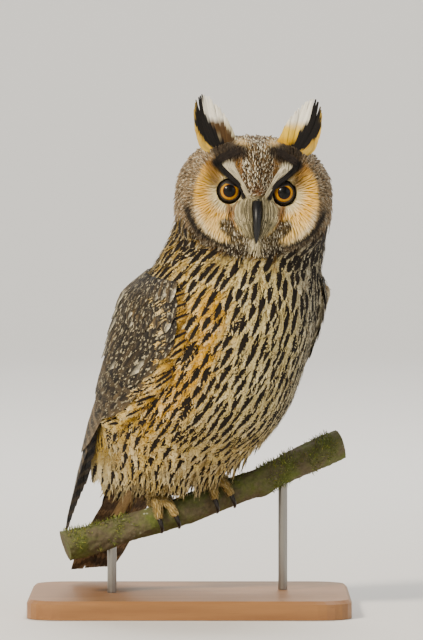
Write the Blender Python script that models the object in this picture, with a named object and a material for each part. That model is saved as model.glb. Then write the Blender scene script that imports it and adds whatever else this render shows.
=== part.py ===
"""A long-eared owl perched on a cut length of branch, held by a plain display stand.

World axes: +X to the right of the face, +Y behind it, +Z up. The origin is the middle of the stand
base's underside. The head looks along -Y; the body under it is turned BODY_YAW_DEG towards +X.
All sizes are millimetres; mesh_object turns them to metres.
"""

import math

import bmesh
import bpy
import numpy as np

MM = 0.001
GAP = 0.3  # between touching solids

# Stand and perch
BASE_LENGTH, BASE_DEPTH, BASE_THICK = 244.0, 220.0, 14.0
BASE_CORNER, BASE_BEVEL = 26.0, 2.5
ROD_RADIUS, ROD_SIDES = 3.5, 16
ROD_PLACES = (-66.0, 76.0)  # along the branch, from the feet
FEET = np.array([-2.0, -3.0, 88.0])  # middle of the grip, on top of the branch, from the origin
BRANCH_RADIUS, BRANCH_YAW_DEG, BRANCH_RISE_DEG = 11.0, 14.0, 18.8
BRANCH_TOP, BRANCH_BEND = 0.7, 0.0005  # its top over the grip, and how fast it curves up, per mm
BRANCH_ENDS = (-104.0, 124.0)  # along the branch, from the feet
BRANCH_RINGS, BRANCH_SIDES = 18, 12

# Body, in the bird's own frame: forward, left and up from the feet
BODY_YAW_DEG = 40.0
BODY_SIDES = 32
BODY_RINGS = 19
# forward, left, up, half width, half depth in front, half depth behind, twist towards the face
BODY_STATIONS = (
    (51.0, 14.5, 222.0, 50.0, 26.0, 36.0, 36.0),
    (48.0, 20.0, 197.0, 61.0, 40.0, 44.0, 32.0),
    (42.0, 14.0, 172.0, 66.0, 58.0, 56.0, 20.0),
    (36.0, 8.0, 146.0, 71.5, 70.0, 62.0, 8.0),
    (28.0, 4.5, 119.0, 72.5, 71.5, 63.0, 2.0),
    (16.0, 2.0, 92.0, 72.5, 71.0, 60.0, 0.0),
    (-4.0, 0.0, 66.0, 71.0, 59.0, 52.0, 0.0),
    (-34.0, 0.0, 42.0, 61.0, 36.0, 39.0, 0.0),
    (-64.0, 0.0, 18.0, 49.0, 20.0, 23.0, 0.0),
    (-92.0, 0.0, -13.0, 38.0, 10.0, 12.0, 0.0),
    (-116.0, 0.0, -47.0, 30.0, 4.0, 6.0, 0.0),
)
BODY_TAPER, BODY_END = 6.4, 8.7  # the stations where the rump starts to narrow, and ends in a point
HEAD_CUT, NECK_CUT = 182.0, 157.0  # above the feet, where the head and the neck end
BELLY_CUT = 5.2  # the station where the torso ends

# Head, in a frame at its middle that is level with the world: right, back and up
HEAD_FROM_FEET = np.array([50.2, -36.0, 225.9])
HEAD_ROLL_DEG, HEAD_YAW_DEG = 2.0, 3.5
HEAD_SIDES, FACE_RINGS, NAPE_RINGS = 50, 14, 6
HEAD_WIDE, HEAD_LOW, HEAD_HIGH = 60.0, 47.0, 48.0
FACE_DEPTH, NAPE_DEPTH = 40.0, 52.0
EYE_SPREAD, EYE_UP, EYE_RADIUS = 20.4, 5.5, 10.5
EYE_DEPTH = 26.5  # of its middle, in front of the head's
DISC_WIDE, DISC_HIGH, RIM_RAISE, DISH_DEPTH = 47.0, 39.0, 3.2, 6.0


def bird(forward, left, up):
    """A point of the bird's frame in world millimetres."""
    yaw = math.radians(BODY_YAW_DEG)
    across = np.array([math.cos(yaw), math.sin(yaw), 0.0])
    ahead = np.array([math.sin(yaw), -math.cos(yaw), 0.0])
    return FEET + ahead * forward + across * left + np.array([0.0, 0.0, up])


LEFT = bird(0, 1, 0) - bird(0, 0, 0)


def unit(v):
    return np.asarray(v, float) / np.linalg.norm(v)


def ease(low, high, x):
    """0 below low, 1 above high, smooth between."""
    t = min(max((x - low) / (high - low), 0.0), 1.0)
    return t * t * (3 - 2 * t)


def bump(x, width):
    return math.exp(-((x / width) ** 2))


def through(rows, t):
    """A smooth curve through the rows, read at row number t."""
    rows = np.asarray(rows, float)
    t = min(max(t, 0.0), len(rows) - 1.0)
    i = min(int(t), len(rows) - 2)
    x = t - i
    b, c = rows[i], rows[i + 1]
    a = rows[i - 1] if i > 0 else 2 * b - c
    d = rows[i + 2] if i + 2 < len(rows) else 2 * c - b
    return b + 0.5 * x * (c - a + x * (2 * a - 5 * b + 4 * c - d + x * (3 * (b - c) + d - a)))


def section(t):
    """Centre, left and dorsal directions and half sizes of the body at station t."""
    forward, left, up, wide, front, back, twist = through(BODY_STATIONS, t)
    ahead, behind = through(BODY_STATIONS, t + 0.2), through(BODY_STATIONS, t - 0.2)
    down = bird(*ahead[:3]) - bird(*behind[:3])
    yaw = math.radians(BODY_YAW_DEG - twist)
    across = np.array([math.cos(yaw), math.sin(yaw), 0.0])
    return bird(forward, left, up), across, unit(np.cross(across, down)), wide, front, back


def on_body(t, around, side=1.0, lift=0.0):
    """A point lifted from the body at station t, around degrees from the breast towards a side."""
    centre, across, dorsal, wide, front, back = section(t)
    c, s = math.cos(math.radians(around)), math.sin(math.radians(around))
    deep = front if c > 0 else back
    out = unit(-dorsal * c / deep + across * side * s / wide)
    return centre - dorsal * deep * c + across * side * wide * s + out * lift


# Mesh helpers


def mesh_object(name, points, faces):
    """A closed mesh object from world millimetres."""
    mesh = bpy.data.meshes.new(name)
    mesh.from_pydata([tuple(np.asarray(p) * MM) for p in points], [], faces)
    bm = bmesh.new()
    bm.from_mesh(mesh)
    bmesh.ops.remove_doubles(bm, verts=bm.verts, dist=1e-7)
    bmesh.ops.recalc_face_normals(bm, faces=bm.faces)
    bm.to_mesh(mesh)
    bm.free()
    obj = bpy.data.objects.new(name, mesh)
    bpy.context.scene.collection.objects.link(obj)
    return obj


def loft(name, rings):
    """A tube through the rings, with both ends capped."""
    count = len(rings[0])
    points = [p for ring in rings for p in ring]
    faces = []
    for i in range(len(rings) - 1):
        for j in range(count):
            k = (j + 1) % count
            faces.append((i * count + j, i * count + k, (i + 1) * count + k, (i + 1) * count + j))
    for ring, start in ((rings[0], 0), (rings[-1], (len(rings) - 1) * count)):
        middle = len(points)
        points.append(np.mean(ring, axis=0))
        faces += [(start + j, start + (j + 1) % count, middle) for j in range(count)]
    return mesh_object(name, points, faces)


def tube(name, path, radii, sides, squash=1.0, up=(0.0, 0.0, 1.0)):
    """A round or oval tube along a path, its short way along up."""
    rings = []
    for i, p in enumerate(path):
        along = unit(np.asarray(path[min(i + 1, len(path) - 1)]) - path[max(i - 1, 0)])
        side = unit(np.cross(along, up))
        top = np.cross(side, along)
        turns = [2 * math.pi * k / sides for k in range(sides)]
        rings.append(
            [p + radii[i] * (side * math.cos(a) + top * squash * math.sin(a)) for a in turns]
        )
    return loft(name, rings)


def vane(name, places, widths, thick):
    """A feather as a thin closed blade.

    places(x, y, z) gives the point x along it from 0 to 1, y across from -1 to 1 in its own half
    width, z lifted; both faces are split into triangles alike.
    """
    count = len(widths)
    points = []
    for face in (1, -1):
        for i, wide in enumerate(widths):
            x = i / (count - 1)
            for y in (-1, 0, 1):
                edge = 0.75 if y else 1.0
                half = 0.5 * thick * edge * (1.0 - 0.45 * x)
                points.append(places(x, y * wide, face * half))
    low = 3 * count
    faces = []
    for i in range(count - 1):
        for j in range(2):
            a, b = 3 * i + j, 3 * i + j + 1
            c, d = a + 3, b + 3
            faces += [(a, c, b), (b, c, d), (a + low, b + low, c + low), (b + low, d + low, c + low)]
        for j in (0, 2):
            a, c = 3 * i + j, 3 * i + j + 3
            faces += [(a, a + low, c), (c, a + low, c + low)]
    for i in (0, count - 1):
        for j in range(2):
            a, b = 3 * i + j, 3 * i + j + 1
            faces += [(a, b, a + low), (b, b + low, a + low)]
    return mesh_object(name, points, faces)


def evaluate(obj):
    """Applies the object's modifiers."""
    graph = bpy.context.evaluated_depsgraph_get()
    mesh = bpy.data.meshes.new_from_object(obj.evaluated_get(graph))
    obj.modifiers.clear()
    obj.data = mesh
    mesh.name = obj.name


def join(obj, pieces):
    """One Boolean union of obj with the pieces, which are then removed."""
    group = bpy.data.collections.new("pieces")
    for piece in pieces:
        group.objects.link(piece)
    union = obj.modifiers.new("join", "BOOLEAN")
    union.operation = "UNION"
    union.operand_type = "COLLECTION"
    union.collection = group
    union.solver = "MANIFOLD"
    evaluate(obj)
    for piece in list(pieces):
        bpy.data.objects.remove(piece)
    bpy.data.collections.remove(group)


def swollen(obj, by=GAP):
    """A copy of a closed mesh with every point moved out."""
    copy = obj.copy()
    copy.data = obj.data.copy()
    bpy.context.scene.collection.objects.link(copy)
    bm = bmesh.new()
    bm.from_mesh(copy.data)
    bm.normal_update()
    for v in bm.verts:
        v.co += v.normal * v.calc_shell_factor() * by * MM
    bm.to_mesh(copy.data)
    bm.free()
    return copy


def cut_with(obj, cutters, by=GAP, operation="DIFFERENCE"):
    """Takes swollen copies of the cutters out of obj."""
    for cutter in cutters:
        tool = swollen(cutter, by)
        cut = obj.modifiers.new("cut", "BOOLEAN")
        cut.operation = operation
        cut.object = tool
        cut.solver = "MANIFOLD"
        evaluate(obj)
        bpy.data.objects.remove(tool)
    largest_only(obj)


def largest_only(obj):
    """Keeps the closed surface with the most volume."""
    bm = bmesh.new()
    bm.from_mesh(obj.data)
    bmesh.ops.triangulate(bm, faces=bm.faces)
    unseen, shells = set(bm.verts), []
    while unseen:
        stack, shell = [unseen.pop()], set()
        while stack:
            v = stack.pop()
            shell.add(v)
            for edge in v.link_edges:
                other = edge.other_vert(v)
                if other in unseen:
                    unseen.discard(other)
                    stack.append(other)
        shells.append(shell)
    if len(shells) > 1:
        volumes = []
        for shell in shells:
            faces = {f for v in shell for f in v.link_faces}
            corners = [[v.co for v in f.verts] for f in faces]
            volumes.append(abs(sum(a.dot(b.cross(c)) for a, b, c in corners)))
        keep = shells[int(np.argmax(volumes))]
        bmesh.ops.delete(bm, geom=[v for v in bm.verts if v not in keep], context="VERTS")
    bm.to_mesh(obj.data)
    bm.free()


def slab(name, point, normal, thick, reach=300.0):
    """A wide flat block, thick along the normal from the point."""
    normal = unit(normal)
    side = unit(np.cross(normal, (0.3, 1.0, 0.2)))
    other = np.cross(normal, side)
    corners = [(-1, -1), (1, -1), (1, 1), (-1, 1)]
    rings = [
        [point + normal * z + reach * (side * a + other * b) for a, b in corners] for z in (0.0, thick)
    ]
    return loft(name, rings)


def part_at(whole, names, planes):
    """Cuts whole into named pieces along planes (point, normal), with a gap at each."""
    pieces = []
    for i, name in enumerate(names):
        piece = whole.copy()
        piece.data = whole.data.copy()
        piece.name = piece.data.name = name
        bpy.context.scene.collection.objects.link(piece)
        for k, (point, normal) in enumerate(planes):
            if k == i - 1:
                block = slab("block", point + unit(normal) * GAP / 2, normal, -400.0)
            elif k == i:
                block = slab("block", point - unit(normal) * GAP / 2, normal, 400.0)
            else:
                continue
            cut_with(piece, [block], by=0.0)
            bpy.data.objects.remove(block)
        pieces.append(piece)
    bpy.data.objects.remove(whole)
    return pieces


# Body and head


def body():
    """Neck, trunk and belly as one loft."""
    rings = []
    for t in np.linspace(0.0, BODY_END, BODY_RINGS):
        centre = section(t)[0]
        narrow = math.sqrt(1.0 - (max(t - BODY_TAPER, 0.0) / (BODY_END - BODY_TAPER + 0.02)) ** 2.4)
        around = [on_body(t, 360.0 * j / BODY_SIDES) for j in range(BODY_SIDES)]
        rings.append([centre + (p - centre) * narrow for p in around])
    return loft("body", rings)


def in_head(right, back, up):
    """A point of the head's frame in world millimetres, with the head's roll and yaw."""
    roll, yaw = math.radians(HEAD_ROLL_DEG), math.radians(HEAD_YAW_DEG)
    x = right * math.cos(roll) + up * math.sin(roll)
    z = up * math.cos(roll) - right * math.sin(roll)
    turned = (x * math.cos(yaw) - back * math.sin(yaw), back * math.cos(yaw) + x * math.sin(yaw), z)
    return FEET + HEAD_FROM_FEET + np.array(turned)


def head_outline(turn):
    """Half size of the head seen from the front, turn radians up from its right side."""
    c, s = abs(math.cos(turn)), math.sin(turn)
    high, power = (HEAD_HIGH, 2.3) if s > 0 else (HEAD_LOW, 3.2)
    return ((c / HEAD_WIDE) ** power + (abs(s) / high) ** power) ** (-1 / power)


def face_relief(x, z):
    """How far the face stands out at x from its midline and z up: discs, rim, brow and bill mound."""
    ax = abs(x)
    ring = ((ax / DISC_WIDE) ** 2.4 + (abs(z) / DISC_HIGH) ** 2.4) ** (1 / 2.4)
    rim = RIM_RAISE * bump(ring - 1.0, 0.10)
    from_eye = math.hypot((ax - EYE_SPREAD) / 26.0, (z - EYE_UP) / 32.0)
    dish = DISH_DEPTH * (1 - ease(0.25, 1.0, from_eye))
    crest_wide = 5.0 + 12.0 * ease(-2.0, 38.0, z)
    crest = 4.0 * (1 - ease(0.6, 1.35, ax / crest_wide)) * ease(-10.0, 0.0, z)
    mound = 6.0 * bump(ax, 12.0) * bump(z + 16.0, 20.0)
    brow_line = 5.0 + 0.75 * (z + 2.0)
    brow = 2.6 * bump(ax - brow_line, 6.0) * ease(-4.0, 6.0, z) * (1 - ease(22.0, 36.0, z))
    return rim - dish + crest + mound + brow


def head_point(turn, share, back):
    """share 0 at the middle to 1 at the outline, in front or behind."""
    reach = head_outline(turn) * share
    x, z = reach * math.cos(turn), reach * math.sin(turn)
    if back:
        return in_head(x, NAPE_DEPTH * math.sqrt(max(1 - share**2.0, 0.0)), z)
    depth = FACE_DEPTH * max(1 - share**2.8, 0.0) ** (1 / 2.8)
    return in_head(x, -depth - face_relief(x, z) * (1 - ease(0.9, 1.0, share)), z)


def head():
    """The head as rings round the face, from the bill to the nape."""
    turns = [2 * math.pi * j / HEAD_SIDES for j in range(HEAD_SIDES)]
    rings = []
    for share in np.linspace(0.04, 1.0, FACE_RINGS):
        rings.append([head_point(t, share, False) for t in turns])
    for angle in np.linspace(0, 90, NAPE_RINGS + 2)[1:-1]:
        rings.append([head_point(t, math.cos(math.radians(angle)), True) for t in turns])
    return loft("head", rings)


def ball(name, centre, radius, rings=9, sides=18, pole=(0.0, -1.0, 0.0)):
    """A sphere with its poles along pole."""
    pole = unit(pole)
    side = unit(np.cross(pole, (0.1, 0.2, 1.0)))
    other = np.cross(pole, side)
    made = []
    for i in range(1, rings):
        a = math.pi * i / rings
        turns = [2 * math.pi * k / sides for k in range(sides)]
        made.append(
            [
                centre
                + radius * (pole * math.cos(a) + math.sin(a) * (side * math.cos(t) + other * math.sin(t)))
                for t in turns
            ]
        )
    return loft(name, made)


def eyelid(side):
    """The rim of feathered skin round an eye, its top edge flattened."""
    path = []
    for k in range(18):
        a = 2 * math.pi * k / 18
        x, z = 8.9 * math.cos(a), 8.4 * math.sin(a)
        path.append((x + EYE_SPREAD * side, -EYE_DEPTH - 6.2 - 0.04 * abs(x), EYE_UP + min(z, 6.4)))
    rings = []
    for k, (x, y, z) in enumerate(path):
        out = unit((x - EYE_SPREAD * side, z - EYE_UP))
        thick = 1.5 if z < EYE_UP + 3.0 else 2.0
        ring = []
        for b in (0.0, 1.26, 2.51, 3.77, 5.03):
            c, s = thick * math.cos(b), thick * math.sin(b)
            ring.append(in_head(x + out[0] * c, y + s, z + out[1] * c))
        rings.append(ring)
    count = len(rings)
    points = [p for ring in rings for p in ring]
    faces = []
    for i in range(count):
        for j in range(5):
            k, m = (j + 1) % 5, (i + 1) % count
            faces.append((i * 5 + j, i * 5 + k, m * 5 + k, m * 5 + j))
    return mesh_object("lid", points, faces)


def bill():
    """The hooked upper half with nostrils, and the lower half behind it."""
    way = ((-38.0, -1.0), (-45.0, -4.5), (-49.5, -10.5), (-51.5, -18.0))
    way += ((-51.0, -25.0), (-48.8, -30.5), (-46.8, -34.0))
    sizes = (4.8, 5.0, 4.7, 4.0, 3.0, 1.7, 0.4)
    upper = tube("bill_upper", [in_head(0.0, y, z) for y, z in way], sizes, 12, up=(1.0, 0.0, 0.0))
    way = ((-37.0, -13.0), (-42.5, -18.5), (-45.6, -24.0), (-46.4, -28.5))
    places = [in_head(0.0, y, z) for y, z in way]
    lower = tube("bill_lower", places, (2.3, 2.2, 1.7, 0.7), 10, squash=1.45, up=(1.0, 0.0, 0.0))
    cut_with(upper, [lower])
    for side in (-1, 1):
        hole = ball("hole", in_head(4.3 * side, -51.5, -10.0), 1.15, rings=6, sides=8)
        cut_with(upper, [hole], by=0.0)
        bpy.data.objects.remove(hole)
    return upper, lower


# Ear tufts: where each feather starts and ends, right and up in the head's frame, for the right one
TUFT_FEATHERS = (
    ((16.5, 31.0), (19.0, 51.0), 4.2),
    ((19.0, 31.0), (24.8, 62.0), 4.8),
    ((21.5, 30.5), (30.8, 70.0), 5.2),
    ((24.0, 30.0), (37.2, 75.0), 5.2),
    ((26.5, 29.5), (42.6, 77.5), 5.2),
    ((28.5, 28.5), (45.6, 71.5), 4.8),
    ((30.0, 28.0), (44.0, 61.0), 4.4),
)
TUFT_DEPTH = -17.0


def ear_tuft(side, name):
    """Seven long feathers fanned from a short flat core."""
    rings = []
    for k, up in enumerate((24.0, 34.0, 42.0, 49.0)):
        wide, thick = (12.5, 12.0, 9.0, 4.0)[k], (5.0, 4.6, 3.4, 1.6)[k]
        across = (25.0, 26.0, 28.5, 31.5)[k]
        turns = [2 * math.pi * n / 14 for n in range(14)]
        ring = []
        for a in turns:
            ring.append(in_head(side * (across + wide * math.cos(a)), TUFT_DEPTH + thick * math.sin(a), up))
        rings.append(ring)
    core = loft(name, rings)
    vanes = []
    for k, (root, tip, wide) in enumerate(TUFT_FEATHERS):
        root, tip = np.array(root), np.array(tip)
        along = unit(tip - root)
        out = np.array([along[1], -along[0]])

        def place(x, y, z, k=k, root=root, tip=tip, out=out):
            bow = out * (1.6 - 0.55 * k) * math.sin(math.pi * x)
            p = root + (tip - root) * x + out * y + bow
            depth = TUFT_DEPTH - 2.4 + 0.8 * k + 3.0 * x * x + 0.1 * y
            return in_head(side * p[0], depth + z, p[1])

        widths = [wide * f for f in (0.7, 0.9, 1.0, 1.0, 0.82, 0.34)]
        vanes.append(vane("vane", place, widths, 0.9))
    join(core, vanes)
    return core


# Wings

WING_START = 2.15  # station of the shoulder
WING_CORE_MM, WING_TIP_MM = 132.0, 268.0
WING_ACROSS = (0.0, 0.12, 0.27, 0.42, 0.57, 0.72, 0.87, 1.0)


def guide_lengths():
    """Millimetres along the back at each station, from the shoulder on."""
    stations = np.linspace(WING_START, len(BODY_STATIONS) - 1.0, 90)
    places = [section(t)[0] for t in stations]
    steps = [np.linalg.norm(b - a) for a, b in zip(places, places[1:])]
    return stations, np.concatenate([[0.0], np.cumsum(steps)])


GUIDE = guide_lengths()


def station_at(along):
    """The station that many millimetres down from the shoulder."""
    return float(np.interp(along, GUIDE[1], GUIDE[0]))


def wing_edges(along):
    """Degrees round from the breast of the wing's front and back edges."""
    front = float(np.interp(along, (0, 40, 90, 130, 200, 268), (62, 62, 76, 86, 98, 118)))
    back = float(np.interp(along, (0, 30, 200, 268), (150, 168, 170, 166)))
    return front, back


def on_wing(along, across, side, lift):
    """A point of the folded wing: along from the shoulder, across 0 at the front edge to 1."""
    front, back = wing_edges(along)
    return on_body(station_at(along), front + (back - front) * across, side, lift)


def wing_width(along):
    """Millimetres across the folded wing."""
    places = [on_wing(along, v, 1, 0) for v in np.linspace(0, 1, 9)]
    return sum(np.linalg.norm(b - a) for a, b in zip(places, places[1:]))


def wing_vane(side, root, tip, wide, lifts, tilt, thick=0.9, segments=5):
    """One feather of the wing from root (along, across) to tip, lying like a tile."""
    (a0, v0), (a1, v1) = root, tip

    def place(x, y, z):
        along = a0 + (a1 - a0) * x
        v = v0 + (v1 - v0) * x
        lift = lifts[0] + (lifts[1] - lifts[0]) * x + tilt * y + z
        return on_wing(along, v + y / wing_width(along), side, lift)

    shape = (0.62, 0.9, 1.0, 0.97, 0.78, 0.34)
    xs = np.linspace(0, 1, segments + 1)
    widths = [wide * float(np.interp(x, np.linspace(0, 1, len(shape)), shape)) for x in xs]
    return vane("vane", place, widths, thick)


def wing(side, name):
    """A folded wing: a thin curved core with its feathers in tiers over one another."""
    low, power = (0.02, 0.75) if side > 0 else (0.08, 0.6)  # the left one lies closer at its front
    rings = []
    for along in np.linspace(0, WING_CORE_MM, 8):
        full = 7.0 * ease(-8.0, 22.0, along) * (1 - 0.62 * ease(60.0, WING_CORE_MM, along))
        bulge = [math.sin(math.pi * (low + (0.92 - low) * v)) ** power for v in WING_ACROSS]
        outer = [on_wing(along, v, side, 2.4 + full * b) for v, b in zip(WING_ACROSS, bulge)]
        inner = [on_wing(along, v, side, -2.0) for v in reversed(WING_ACROSS)]
        rings.append(outer + inner)
    core = loft(name, rings)
    vanes = []
    for i in range(5):
        v = 0.06 + 0.1 * i
        tip = (WING_TIP_MM - 12.0 * i, 0.16 + 0.15 * i)
        vanes.append(wing_vane(side, (104.0, v + 0.12), tip, 9.0, (3.0, 2.6), 0.14, segments=5))
    for i in range(6):
        v = 0.2 + 0.13 * i
        tip = (178.0 + 6.0 * i, v + 0.02)
        vanes.append(wing_vane(side, (92.0, v), tip, 11.0, (4.6, 4.6), 0.15, segments=4))
    for i in range(6):
        v = 0.12 + 0.145 * i
        lifts = (min(4.2 + 1.0 * i, 6.2), min(5.4 + 1.1 * i, 7.6)) if side > 0 else (6.2, 7.6)
        tip = (124.0 + 2 * i, v + 0.01)
        vanes.append(wing_vane(side, (62.0, v), tip, 11.0, lifts, 0.15, segments=3))
    for i in range(4):
        v = 0.1 + 0.145 * i
        lifts = (min(4.4 + 1.3 * i, 7.0), min(6.4 + 1.9 * i, 10.2)) if side > 0 else (7.0, 10.2)
        vanes.append(wing_vane(side, (34.0, v), (84.0, v + 0.01), 11.0, lifts, 0.15, segments=3))
    for i in range(3):
        v = 0.64 + 0.13 * i
        tip = (106.0 - 4 * i, v - 0.02)
        vanes.append(wing_vane(side, (48.0, v), tip, 12.0, (7.0, 10.6), 0.14, segments=3))
    for i in range(3):
        v = 0.62 + 0.13 * i
        vanes.append(wing_vane(side, (8.0, v), (66.0, v - 0.02), 12.0, (5.0, 12.2), 0.14, segments=3))
    join(core, vanes)
    return core


# Tail

TAIL_ROOT, TAIL_TIP = (-42.0, 0.0, 34.0), (-125.0, 0.0, -64.0)
TAIL_FEATHERS, TAIL_ROOT_WIDE, TAIL_TIP_WIDE = 12, 22.0, 40.0


def on_tail(along, across, lift):
    """A point of the tail: along 0 to 1 from its root, across in millimetres, lift to its upper side."""
    a, b = bird(*TAIL_ROOT), bird(*TAIL_TIP)
    up = unit(np.cross(LEFT, b - a))
    droop = 3.0 * math.sin(math.pi * along)
    return a + (b - a) * along + LEFT * across + up * (lift + droop - 0.004 * across**2)


def tail():
    """Twelve feathers in two fans under the middle pair, rooted in a short thick core."""
    rings = []
    for along in np.linspace(0.0, 0.42, 5):
        half = TAIL_ROOT_WIDE * (0.95 - 0.3 * along)
        turns = [2 * math.pi * k / 16 for k in range(16)]
        thick = 7.0 - 11.0 * along
        rings.append([on_tail(along, half * math.cos(t), thick * math.sin(t)) for t in turns])
    core = loft("tail", rings)
    vanes = []
    for k in range(TAIL_FEATHERS):
        side = -1 if k % 2 else 1
        row = k // 2
        root_at = side * (1.6 + TAIL_ROOT_WIDE * 0.6 * row / 5)
        tip_at = side * (3.4 + (TAIL_TIP_WIDE / 2 - 4.0) * row / 5)
        end = 1.0 - 0.012 * row
        height = 1.4 - 1.35 * row + (0.66 if side > 0 else 0.0)

        def place(x, y, z, root_at=root_at, tip_at=tip_at, end=end, height=height):
            along = 0.16 + (end - 0.16) * x
            return on_tail(along, root_at + (tip_at - root_at) * x + y, height + z)

        widths = [5.0, 6.5, 7.4, 7.6, 7.4, 6.0, 2.4]
        vanes.append(vane("vane", place, widths, 0.62 if row else 0.7))
    join(core, vanes)
    return core


# Legs, feet and claws


def branch_way():
    """The branch's direction, its upward normal and its forward normal."""
    yaw, rise = math.radians(BRANCH_YAW_DEG), math.radians(BRANCH_RISE_DEG)
    along = np.array([math.cos(yaw) * math.cos(rise), math.sin(yaw) * math.cos(rise), math.sin(rise)])
    front = unit(np.cross(along, (0.0, 0.0, 1.0)))
    return along, np.cross(front, along), front


ALONG, OVER, FRONT = branch_way()
BRANCH_MIDDLE = FEET + (0.0, 0.0, BRANCH_TOP) - OVER * BRANCH_RADIUS
FOOT_SPREAD = 23.0
TOE_RADIUS, TOE_SIDES = 4.3, 7
# sideways from the shank's middle, then degrees round the branch of each toe's start and end
TOES = ((-7.0, 6.0, 84.0), (6.0, 6.0, 90.0), (12.0, -4.0, -62.0), (-5.0, -8.0, -80.0))


def round_branch(along, angle, lift):
    """A point off the branch, angle degrees from its top towards the front."""
    a = math.radians(angle)
    out = OVER * math.cos(a) + FRONT * math.sin(a)
    bend = np.array([0.0, 0.0, BRANCH_BEND * along**2])
    return BRANCH_MIDDLE + bend + ALONG * along + out * (BRANCH_RADIUS + lift)


def foot(side, name):
    """A feathered shank and four feathered toes round the branch, and the path of each claw."""
    middle = FOOT_SPREAD * side
    ankle = round_branch(middle, -6.0, 16.0)
    high = bird(-2.0, 22.0 * side, 50.0)
    way = [high + (ankle - high) * x for x in (0.0, 0.3, 0.55, 0.8, 1.0)]
    way += [round_branch(middle, -4.0, 8.0), round_branch(middle, 0.0, 2.0)]
    core = tube(name, way, [17.0, 16.0, 13.5, 10.5, 8.6, 8.2, 6.5], 14, up=FRONT)
    toes, claws = [], []
    for spread, start, end in TOES:
        path, radii = [], []
        for x in np.linspace(0, 1, 6):
            angle = start + (end - start) * x
            shift = spread * (0.35 + 0.65 * x)
            path.append(round_branch(middle + shift, angle, 4.3 + 1.0 * math.sin(math.pi * x) - 0.9 * x))
            radii.append(TOE_RADIUS * (1.12 - 0.3 * x))
        toes.append(tube("toe", path, radii, TOE_SIDES, up=ALONG))
        claw, sizes = [], []
        for x in np.linspace(0, 1, 6):
            angle = end + math.copysign(64.0, end) * (x - 0.04)
            lift = 3.4 + 3.2 * math.sin(math.pi * min(x * 1.05, 1.0)) - 2.4 * x
            claw.append(round_branch(middle + spread * (1.0 + 0.12 * x), angle, lift))
            sizes.append(0.3 + 2.0 * (1 - x) ** 0.75)
        claws.append((claw, sizes))
    join(core, toes)
    return core, claws


# Perch and stand


def branch():
    """A knobbly length of branch with clean cut ends."""
    rings = []
    for i, along in enumerate(np.linspace(*BRANCH_ENDS, BRANCH_RINGS)):
        ring = []
        for j in range(BRANCH_SIDES):
            angle = 360.0 * j / BRANCH_SIDES
            near = bump(abs(along) - FOOT_SPREAD, 22.0)
            knob = 0.7 * math.sin(3.0 * math.radians(angle) + along * 0.09)
            knob += 0.8 * math.sin(along * 0.06 + 1.3)
            knob += 3.2 * bump(along - 56.0, 7.0) * bump(angle - 140.0, 50.0)
            ring.append(round_branch(along, angle, knob * (1 - 0.85 * near)))
        rings.append(ring)
    return loft("perch_branch", rings)


def stand():
    """A flat base with rounded corners and two rods up to the branch."""
    corners = []
    for quarter, (sx, sy) in enumerate(((1, 1), (-1, 1), (-1, -1), (1, -1))):
        for k in range(7):
            a = math.radians(90.0 * quarter + 15.0 * k)
            x = sx * (BASE_LENGTH / 2 - BASE_CORNER) + BASE_CORNER * math.cos(a)
            y = sy * (BASE_DEPTH / 2 - BASE_CORNER) + BASE_CORNER * math.sin(a)
            corners.append((x, y))
    rings = []
    for z, inset in ((0.0, 0.0), (BASE_THICK - BASE_BEVEL, 0.0), (BASE_THICK, BASE_BEVEL)):
        ring = []
        for x, y in corners:
            ring.append(np.array([x - math.copysign(inset, x), y - math.copysign(inset, y), z]))
        rings.append(ring)
    made = [loft("stand_base", rings)]
    for k, along in enumerate(ROD_PLACES):
        foot_at = BRANCH_MIDDLE + ALONG * along + (0.0, 0.0, BRANCH_BEND * along**2)
        high = foot_at[2]
        turns = [2 * math.pi * n / ROD_SIDES for n in range(ROD_SIDES)]
        rings = [
            [
                np.array([foot_at[0] + ROD_RADIUS * math.cos(a), foot_at[1] + ROD_RADIUS * math.sin(a), z])
                for a in turns
            ]
            for z in (BASE_THICK + GAP, high)
        ]
        made.append(loft(f"stand_rod_{k + 1}", rings))
    return made


# Colours as seen, and how rough and how metallic, by the start of each name
LOOKS = {
    "head": ("9C7443", 0.85, 0.0),
    "neck": ("8A6B42", 0.85, 0.0),
    "torso": ("B58F57", 0.85, 0.0),
    "belly": ("BE9A62", 0.85, 0.0),
    "wing": ("4A3A28", 0.8, 0.0),
    "tail": ("5B4630", 0.8, 0.0),
    "ear_tuft": ("2C211A", 0.85, 0.0),
    "eye": ("E8870F", 0.05, 0.0),
    "bill": ("23211F", 0.35, 0.0),
    "foot": ("C8A26C", 0.85, 0.0),
    "claw": ("17130F", 0.3, 0.0),
    "perch": ("5F5B38", 0.9, 0.0),
    "stand_base": ("6B4A2E", 0.45, 0.0),
    "stand_rod": ("8C8A85", 0.3, 1.0),
}


def colour(obj):
    """Gives an object its own material."""
    look = next(LOOKS[start] for start in LOOKS if obj.name.startswith(start))
    shades = [int(look[0][i : i + 2], 16) / 255 for i in (0, 2, 4)]
    material = bpy.data.materials.new(obj.name)
    material.use_nodes = True
    shader = material.node_tree.nodes["Principled BSDF"]
    linear = [((c + 0.055) / 1.055) ** 2.4 if c > 0.04 else c / 12.92 for c in shades]
    shader.inputs["Base Color"].default_value = (*linear, 1.0)
    shader.inputs["Roughness"].default_value = look[1]
    shader.inputs["Metallic"].default_value = look[2]
    material.diffuse_color = (*linear, 1.0)
    obj.data.materials.clear()
    obj.data.materials.append(material)


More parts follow.
